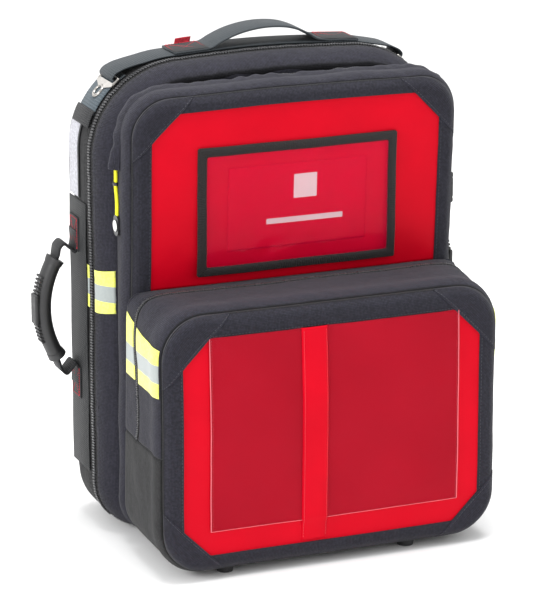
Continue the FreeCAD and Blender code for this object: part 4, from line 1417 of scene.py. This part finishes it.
# ---- webbing, labels and stitched patches
def smoothCurve(points, count):
    # a curve through every point, each stretch a cubic whose slopes come from the neighbours
    p, run = lengthRun(points)
    slope = np.gradient(p, run, axis=0)
    s = np.linspace(0, run[-1], count)
    k = np.clip(np.searchsorted(run, s, side="right") - 1, 0, len(p) - 2)
    h = (run[k + 1] - run[k])[:, None]
    f = ((s - run[k])[:, None]) / h
    return ((2 * f**3 - 3 * f**2 + 1) * p[k] + (f**3 - 2 * f**2 + f) * h * slope[k]
            + (-2 * f**3 + 3 * f**2) * p[k + 1] + (f**3 - f**2) * h * slope[k + 1])


topRuns = loopRuns(shellSizes)
topMiddle = (topRuns[4] + topRuns[5]) / 2
webbing = {"width": 40.0, "thick": 1.6, "y": -7.0, "ladderWidth": 44.0, "hookLean": 37.0}


def onTop(run, lift, y):
    # a place on the shell, run millimetres from the top's middle towards the left, lift above the cloth
    t = np.interp(topMiddle + np.asarray(run, float), topRuns, np.arange(10))
    behind = np.clip((y - partingY) / (shellBackY - partingY), 0, 1)
    x, z, nx, nz = loopPoint(shellSizes, t)
    out = main["swell"] * np.sin(math.pi * behind) + lift
    return np.stack([x + out * nx, y + 0 * x, z + out * nz + crownLift(x, z)], axis=1)


def ribbon(path, width, thick):
    # a flat strap whose width lies along Y
    return closedSweep(path, (0, 1, 0), flatSection(width, thick))


def runAtHeight(z):
    # how far round from the top's middle the left outline falls to height z
    t = 9 - heightToLoop(shellSizes, z)
    return float(np.interp(t, np.arange(10), topRuns)) - topMiddle


barRun = float(np.interp(5 + webbing["hookLean"] / 90, np.arange(10), topRuns)) - topMiddle


def boxStitch(corners, normal, width):
    # a stitched box with its diagonals, on four corners
    c = np.array(corners, float)
    rows = []
    for a, b in ((0, 1), (1, 2), (2, 3), (3, 0), (0, 2), (1, 3)):
        line = c[a] + np.linspace(0, 1, 12)[:, None] * (c[b] - c[a])
        rows.append(stitchRow(line, normal, 3.0, 2.9, width, skip=0.2))
    return rows


def buildWebbing():
    y = webbing["y"]
    wrap = [(-60, 0.9), (-46, 1.0), (-32, 1.9), (-20, 4.4), (-9, 7.3), (0, 8.2), (3.0, 7.1), (4.2, 4.6),
            (3.0, 2.2),
            (0, 1.0), (-9, 0.6)]
    left = np.array([(barRun + a, lift) for a, lift in wrap])
    left = smoothCurve(left, 90)
    inner = np.stack([np.linspace(0, left[0, 0], 60)[:-1], np.full(59, 0.9)], axis=1)
    half = np.concatenate([inner, left])
    leftHalf = onTop(half[:, 0], half[:, 1], y)
    path = np.concatenate([(leftHalf[1:] * (-1, 1, 1))[::-1], leftHalf])
    across = partsPiece("top_webbing_strap", [ribbon(path, webbing["width"], webbing["thick"])], "slate")
    dress(across, "slate_webbing", "pack_body", "top_webbing")
    hemRun = runAtHeight(451)
    lowRun = runAtHeight(441)
    ladder = np.linspace(barRun + 1, hemRun, 50)
    hem = np.linspace(hemRun - 4, lowRun + 3, 12)
    label = np.linspace(lowRun + 1, runAtHeight(360), 40)
    strip = np.linspace(runAtHeight(357), runAtHeight(60), 90)
    hemLift = 1.9 - 0.5 * np.abs(np.linspace(-1, 1, 12)) ** 4
    # name, finish, slot, replaced nodes, then its ribbons: runs, lift, Y, width and thickness
    straps = (
        ("corner_ladder_webbing", "ladder", "slate_webbing", ["side_webbing"],
         [(ladder, 0.9, -5.0, webbing["ladderWidth"], 1.4)]),
        ("corner_hems", "darkWeb", "slate_webbing", [], [(hem, hemLift, -3.0, 49.0, 2.2)]),
        ("corner_labels", "label", "reflective_tape", [],
         [(label, 1.0 + 0.3 * np.sin(label / 9), 10.0, 30.0, 0.8)]),
        ("label_edges", "darkWeb", "black_binding", [],
         [(label, 1.2, -5.5, 4.0, 1.3), (label, 1.2, 25.5, 4.0, 1.3)]),
        ("side_webbing_strips", "darkSlate", "slate_webbing", [],
         [(strip, 0.7 + 0.25 * np.sin(strip / 17), 1.5, 52.0, 0.9)]))
    for name, colour, slot, replaced, ribbons in straps:
        parts = []
        for flip in (1, -1):
            for runs, lift, atY, width, thick in ribbons:
                parts.append(ribbon(onTop(runs, lift, atY) * (flip, 1, 1), width, thick))
        dress(partsPiece(name, parts, colour), slot, "pack_body", *replaced)
    buildPatches()


def buildPatches():
    patches = []
    red = []
    y0, y1 = webbing["y"] - 17.5, webbing["y"] + 17.5
    for x0, x1 in ((-96.0, -57.0), (73.0, 113.0)):
        xs = np.linspace(x0, x1, 24)
        base = onTop(-xs, 4.0, webbing["y"])
        patches.append(ribbon(base, 37.0, 1.0))
        places = ((x0 + 2, y0), (x1 - 2, y0), (x1 - 2, y1), (x0 + 2, y1))
        red += boxStitch([onTop(np.array([-x]), 4.8, y)[0] for x, y in places], (0, 0, 1), 0.55)
    for sign in (-1, 1):
        for z0, z1 in ((300, 337), (136, 171)):
            zs = np.linspace(z0, z1, 20)
            points = np.stack([sign * (shellSizes[0] + 4.1) + 0 * zs, 10.0 + 0 * zs, zs], axis=1)
            patches.append(ribbon(points, 27.0, 1.4))
            x = sign * (shellSizes[0] + 4.9)
            corners = [(x, -1, z0 + 2), (x, -1, z1 - 2), (x, 21, z1 - 2), (x, 21, z0 + 2)]
            red += boxStitch(corners, (sign, 0, 0), 0.6)
    piece = partsPiece("handle_patches", patches, "darkWeb")
    dress(piece, "slate_webbing", "pack_body", "stitched_patches")
    thread = partsPiece("handle_patch_stitching", red, "redThread")
    dress(thread, "slate_webbing", "pack_body")
    s, h = np.meshgrid(np.linspace(-82, -64, 12), np.linspace(0, 8, 8))
    base = onTop(-s.ravel(), 1.5, 13.0).reshape(8, 12, 3)
    tag = base + np.stack([0.25 * h, 2.0 + 0.12 * h + 0.5 * np.sin(s / 4), h], axis=2)
    piece = surfacePiece("red_tag", tag, finish["redLabel"], thickness=0.7)
    dress(piece, "red_tarpaulin", "pack_body")


# ---- handles
topHandle = {"foldLow": 513.5, "foldHigh": 523.0, "thick": 1.9}


def buildTopHandle():
    foot = 3.0
    left = onTop(np.array([96.0, 80.0, 66.0]), foot, webbing["y"])
    right = onTop(np.array([-78.0, -95.0, -113.0]), foot, webbing["y"])
    arch = [(-55, 513.2), (-44, 518.6), (-28, 525.0), (-8, 529.6), (14, 531.0), (36, 528.3), (54, 521.4),
            (67, 513.6)]
    points = list(left) + [(x, webbing["y"], z) for x, z in arch] + list(right)
    path = smoothCurve(points, 150)
    piece = partsPiece("top_handle_strap", [ribbon(path, webbing["width"], topHandle["thick"])], "slate")
    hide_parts("top_handle")
    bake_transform(piece)


gripBox = nodeBox("side_grip_left")
sideHandle = {"y": (gripBox[0][1] + gripBox[1][1]) / 2, "width": 24.0, "thick": 2.8}


def buildSideHandles():
    for name, sign in (("left", -1), ("right", 1)):
        route = [(-198.4, 322), (-198.4, 305), (-200.5, 299.0), (-206.0, 303.5), (-212.5, 308.6),
                 (-217.0, 305.0),
                 (-219.0, 297.0), (-221.5, 288.0), (-228.5, 268.0), (-233.5, 250.0), (-234.3,
                                                                                      237.0), (-233.5,
                                                                                               224.0),
                 (-228.5, 206.0), (-222.0, 186.0), (-220.0, 178.0), (-217.0, 168.5), (-212.0,
                                                                                      164.2), (-206.5,
                                                                                               169.5),
                 (-201.5, 174.5), (-198.8, 169.0), (-198.4, 150.0)]
        path = smoothCurve([(-sign * x, sideHandle["y"], z) for x, z in route], 150)
        points, faces, uv = ribbon(path, sideHandle["width"], sideHandle["thick"])
        hidden = ease(298 - points[:, 2], 0, 14) * ease(points[:, 2] - 176, 0, 14)
        points[:, 1] = sideHandle["y"] + (points[:, 1] - sideHandle["y"]) * (1 - 0.45 * hidden)
        piece = partsPiece("side_handle_strap_" + name, [(points, faces, uv)], "darkWeb")
        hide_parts("side_handle_webbing_" + name)
        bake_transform(piece)


# ---- left zip pull: two cord strands, a ring round them and a tab with a pale disc
pull = {"diameter": 2.8, "length": 50.0}
pullX = (nodeBox("pull_strand_front")[0][0] + nodeBox("pull_strand_front")[1][0]) / 2
strandRoutes = {
    "front": [(-94.6, 411.3), (-95.6, 402.0), (-93.9, 392.0), (-96.9, 381.5), (-98.3, 371.0),
              (-97.0, 361.5)],
    "rear": [(-91.4, 411.3), (-92.3, 402.5), (-90.7, 392.5), (-93.5, 382.0), (-94.9, 371.0), (-93.7, 361.5)]}


def buildPull():
    disc = pullDisc()
    for name, route in strandRoutes.items():
        curve = bpy.data.curves.new("pull_cord_" + name, "CURVE")
        curve.dimensions = "3D"
        line = curve.splines.new("NURBS")
        line.points.add(len(route) - 1)
        for point, (y, z) in zip(line.points, route):
            point.co = (pullX * mm, y * mm, z * mm, 1)
        line.order_u = 3
        line.use_endpoint_u = True
        line.resolution_u = 12
        curve.bevel_depth = pull["diameter"] / 2 * mm
        curve.bevel_resolution = 5
        curve.use_fill_caps = True
        curve.materials.append(finish["yellowCord"])
        cord = bpy.data.objects.new("pull_cord_" + name, curve)
        bpy.context.scene.collection.objects.link(cord)
        dress(cord, "yellow_cord", "front_zip_pull_left", "pull_strand_" + name)
    z = 394.5
    a = np.linspace(0, 2 * math.pi, 40, endpoint=False)
    path = np.stack([pullX + 2.2 * np.cos(a), -92.6 + 3.7 * np.sin(a), z + 0 * a], axis=1)
    ring = partsPiece("pull_ring", [closedSweep(path, (0, 0, 1), flatSection(3.4, 1.4), True)], "plastic")
    dress(ring, "black_plastic", "front_zip_pull_left")


def pullDisc():
    # a shallow dome: rows from the rim to a closed middle
    rho = np.array([1.0, 0.97, 0.85, 0.6, 0.3, 0.0])[:, None]
    a = np.linspace(0, 2 * math.pi, 36, endpoint=False)[None]
    radius = 6.2
    x = pullX - 2.4 - 0.9 * np.sqrt(1 - rho**2) * np.ones_like(a)
    points = np.stack([x, -95.4 + radius * rho * np.cos(a), 350.5 - radius * rho * np.sin(a) + 0 * x],
                      axis=2)
    points[0, :, 0] += 1.2
    flat = points.reshape(-1, 3)
    faces = gridFaces(6, 36, True)
    if (np.cross(flat[faces[40, 1]] - flat[faces[40, 0]], flat[faces[40, 3]] - flat[faces[40, 0]]))[0] > 0:
        faces = faces[:, ::-1]
    disc = makePiece("pull_disc", flat, [faces], finish["white"])
    merge(disc)
    dress(disc, "card_paper", "front_zip_pull_left")
    return disc


def merge(piece, reach=0.01):
    shape = bmesh.new()
    shape.from_mesh(piece.data)
    bmesh.ops.remove_doubles(shape, verts=shape.verts, dist=reach * mm)
    shape.to_mesh(piece.data)
    shape.free()


# ---- the wearer's side
padding = {"pressure": 4.0, "voxel": 5.0, "frames": 20}


def inflate(piece, cap):
    # remeshes a closed pad and lets air pressure swell its cloth, each point held within cap millimetres
    remesh = piece.modifiers.new("even", "REMESH")
    remesh.mode = "VOXEL"
    remesh.voxel_size = padding["voxel"] * mm
    remesh.use_smooth_shade = True
    bakeMesh(piece)
    cloth = piece.modifiers.new("air", "CLOTH")
    cloth.settings.use_pressure = True
    cloth.settings.uniform_pressure_force = padding["pressure"]
    cloth.settings.effector_weights.gravity = 0
    before = meshPoints(piece.data)
    for number in range(1, padding["frames"] + 1):
        bpy.context.scene.frame_set(number)
    graph = bpy.context.evaluated_depsgraph_get()
    after = meshPoints(piece.evaluated_get(graph).data)
    piece.modifiers.remove(cloth)
    bpy.context.scene.frame_set(1)
    move = after - before
    size = np.linalg.norm(move, axis=1)[:, None]
    move = move * np.minimum(1, cap * mm / np.maximum(size, 1e-9))
    piece.data.vertices.foreach_set("co", (before + move).astype(np.float32).ravel())
    piece.data.update()
    smooth = piece.modifiers.new("smooth", "SUBSURF")
    smooth.levels = 1
    smooth.render_levels = 1


def meshPoints(mesh):
    points = np.empty(len(mesh.vertices) * 3, np.float32)
    mesh.vertices.foreach_get("co", points)
    return points.reshape(-1, 3).astype(float)


def bakeMesh(piece):
    # puts the result of a piece's modifiers into its mesh
    graph = bpy.context.evaluated_depsgraph_get()
    mesh = bpy.data.meshes.new_from_object(piece.evaluated_get(graph))
    old = piece.data
    piece.modifiers.clear()
    piece.data = mesh
    mesh.name = old.name
    mesh.polygons.foreach_set("use_smooth", np.ones(len(mesh.polygons), bool))
    if not mesh.materials:
        mesh.materials.append(old.materials[0])


def roundedBlock(low, high, radius, n=14):
    # a closed pillow block: a rounded-rectangle outline in XZ, drawn in towards its front and back
    (x0, y0, z0), (x1, y1, z1) = low, high
    cx, cz = (x0 + x1) / 2, (z0 + z1) / 2
    sizes = ((x1 - x0) / 2, -(z1 - z0) / 2, (z1 - z0) / 2, radius, radius)
    t = ringOf(sizes, 6.0)
    rows = []
    for share in np.linspace(0, 1, n):
        angle = math.pi * (share - 0.5)
        inset = 7.0 * (1 - math.cos(angle) ** 0.7)
        x, z = loopPoint(shrink(sizes, min(inset, radius - 1)), t)[:2]
        y = (y0 + y1) / 2 + (y1 - y0) / 2 * math.sin(angle)
        rows.append(np.stack([cx + x, y + 0 * x, cz + z], axis=1))
    grid = np.stack(rows)[::-1]
    columns = grid.shape[1]
    return grid.reshape(-1, 3), [gridFaces(n, columns, True)] + endFaces(n, columns)


def buildBack():
    z = np.linspace(shellSizes[1] + 5, shellSizes[2] - 5, 110)
    x, zz = filledRows(-widthAt(shrink(shellSizes, 5), np.clip(z, z[0] + 0.01, z[-1] - 0.01)), z, 90)
    y = shellBackY + 2.6 + 0.8 * ripple(x, zz, 110, 91) + 0.25 * ripple(x, zz, 30, 92)
    e = edgeDistance(x, zz, shellSizes)
    y = y - 3.0 * np.clip(1 - (e - 5) / 10, 0, 1) ** 2
    panel = surfacePiece("back_panel_fabric", np.stack([x, y, zz + crownLift(x, zz)], axis=2),
                         finish["mesh"],
                         thickness=2.0)
    dress(panel, "spacer_mesh", "pack_body", "back_panel")
    t = ringOf(shellSizes, 3.2)
    rim = shellWall(t, [shellBackY + 0.4], -2.0)[0]
    rim = closedSweep(rim, outlineNormal(shellSizes, t), flatSection(7.0, 7.0, 0.8), True)
    binding = partsPiece("back_edge_binding", [rim], "binding")
    dress(binding, "black_binding", "pack_body")
    base = nodeBox("back_pads")[0][1]
    pads = (("back_pad_left", ["back_pads"], -134, 166, -21, 431), ("back_pad_right", [], 21, 166, 134, 431),
            ("lumbar_pad", [], -103, 49, 103, 139))
    for name, replaced, x0, z0, x1, z1 in pads:
        points, faces = roundedBlock((x0 + 3, base + 1, z0 + 3), (x1 - 3, base + 13, z1 - 3), 22)
        pad = makePiece(name, points, faces, finish["mesh"])
        inflate(pad, 5.0)
        dress(pad, "spacer_mesh", "pack_body", *replaced)
        cx, cz = (x0 + x1) / 2, (z0 + z1) / 2
        sizes = ((x1 - x0) / 2 - 1, -(z1 - z0) / 2 + 1, (z1 - z0) / 2 - 1, 23, 23)
        t = ringOf(sizes, 4.0)
        px, pz = loopPoint(sizes, t)[:2]
        path = np.stack([cx + px, base + 2.2 + 0 * px, cz + pz], axis=1)
        piping = partsPiece(name + "_piping", [closedSweep(path, (0, 1, 0), roundSection(2.0), True)],
                            "binding")
        dress(piping, "black_binding", "pack_body")
    low, high = nodeBox("strap_yoke")
    sizes = (high[0], low[2], high[2], 9, 9)
    zs = np.linspace(low[2] + 0.01, high[2] - 0.01, 18)
    x, zz = filledRows(-widthAt(sizes, zs), zs, 60)
    y = high[1] - 1.0 + 0.5 * ripple(x, zz, 60, 93)
    yoke = surfacePiece("strap_yoke_fabric", np.stack([x, y, zz], axis=2), finish["grey"], thickness=2.6)
    dress(yoke, "grey_nylon", "pack_body", "strap_yoke")
    rows = []
    y = high[1] + 0.4
    for x0 in (-77.0, 77.0):
        corners = [(x0 - 14, y, 446), (x0 + 14, y, 446), (x0 + 14, y, 476), (x0 - 14, y, 476)]
        rows += boxStitch(corners, (0, 1, 0), 0.7)
    thread = partsPiece("yoke_stitching", rows, "greyThread")
    dress(thread, "grey_nylon", "pack_body")
    low, high = nodeBox("base_panel")
    x, y = np.meshgrid(np.linspace(low[0], high[0], 60), np.linspace(low[1], high[1], 20))
    rise = 2.4 * np.clip(1 - np.minimum(high[0] - np.abs(x), np.minimum(y - low[1], high[1] - y)) / 5, 0,
                         1) ** 2
    floor = surfacePiece("base_fabric", np.stack([x, y, rise + 0.02], axis=2)[::-1], finish["grey"],
                         thickness=2.4)
    dress(floor, "grey_nylon", "pack_body", "base_panel")
    low, high = nodeBox("inner_divider")
    x, y = np.meshgrid(np.linspace(low[0], high[0], 70), np.linspace(low[1], high[1], 20))
    shelf = surfacePiece("divider_fabric", np.stack([x, y, high[2] - 1.5 + 0.8 * ripple(x, y, 60, 94)],
                                                    axis=2),
                         finish["charcoal"], thickness=4.0)
    dress(shelf, "charcoal_nylon", "pack_body", "inner_divider")


strap = {"width": 57.0, "thick": 7.6, "x": 77.0}


def buildStraps():
    back = shellBackY + 3
    route = [(back + 22, 452), (back + 35, 458), (back + 52, 438), (back + 61, 385), (back + 60, 315),
             (back + 50, 245),
             (back + 38, 188)]
    for name, sign in (("left", -1), ("right", 1)):
        x = sign * strap["x"]
        body = "shoulder_strap_" + name
        path = smoothCurve([(x, y, z) for y, z in route], 60)
        points, faces, uv = closedSweep(path, (1, 0, 0), flatSection(strap["width"], strap["thick"], 0.9))
        pad = makePiece("shoulder_pad_" + name + "_fabric", points, faces, finish["mesh"], uv)
        inflate(pad, 3.0)
        dress(pad, "spacer_mesh", body, "shoulder_pad_" + name)
        edges = []
        for off in (-1, 1):
            edges.append(closedSweep(path + (off * (strap["width"] / 2 + 1.0), 0, 0), (1, 0, 0),
                                     roundSection(2.3)))
        along = path[8:-4]
        normal = unit(np.cross(np.gradient(along, axis=0), (1, 0, 0)))
        normal *= np.sign(normal[:, 1:2].mean())
        webs = [closedSweep(along + normal * (strap["thick"] / 2 + 3.0), (1, 0, 0), flatSection(25, 1.6))]
        binding = partsPiece("shoulder_binding_" + name, edges, "binding")
        dress(binding, "black_binding", body)
        lowEnd = [(x, back + 38, 206), (x, back + 40, 194), (x + sign * 18, back + 33, 168),
                  (sign * 128, back + 19, 118), (sign * 151, back + 10.5, 83), (sign * 160, back + 6.5, 68)]
        webs.append(closedSweep(smoothCurve(lowEnd, 50), (1, 0, 0.3 * sign), flatSection(25, 1.6)))
        highEnd = [(x, back + 5.2, 474), (x, back + 9.5, 468), (x, back + 18, 460), (x, back + 27, 455)]
        webs.append(closedSweep(smoothCurve(highEnd, 24), (1, 0, 0), flatSection(25, 1.8)))
        web = partsPiece("shoulder_webbing_" + name + "_strap", webs, "darkWeb")
        dress(web, "slate_webbing", body, "shoulder_webbing_" + name)




# ---- CAD pieces whose shape stays, with their finishes
kept = {"frame_sheet": "board", "frame_stays": "stay", "base_board": "board", "ladder_locks": "plastic",
        "main_slider": "blackMetal", "main_pull": "blackMetal", "front_feet": "rubber",
        "front_slider_left": "blackMetal", "front_slider_right": "blackMetal", "lower_slider": "blackMetal",
        "lower_pull": "blackMetal", "moulded_puller": "plastic", "pull_tab": "plastic",
        "side_grip_left": "rubber",
        "side_grip_right": "rubber", "strap_hook_left": "nickel", "strap_hook_right": "nickel"}


def dressKept():
    for name, key in kept.items():
        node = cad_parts[name]
        node.data.materials.clear()
        node.data.materials.append(finish[key])


stages = [("main compartment", buildMain), ("front compartment", buildFront), ("lower pocket", buildLower),
          ("reflective bands", buildBands), ("webbing", buildWebbing), ("top handle", buildTopHandle),
          ("side handles", buildSideHandles), ("left zip pull", buildPull), ("wearer's side", buildBack),
          ("shoulder straps", buildStraps), ("kept nodes", dressKept)]
for stage, build in stages:
    build()
    print(stage, "done")
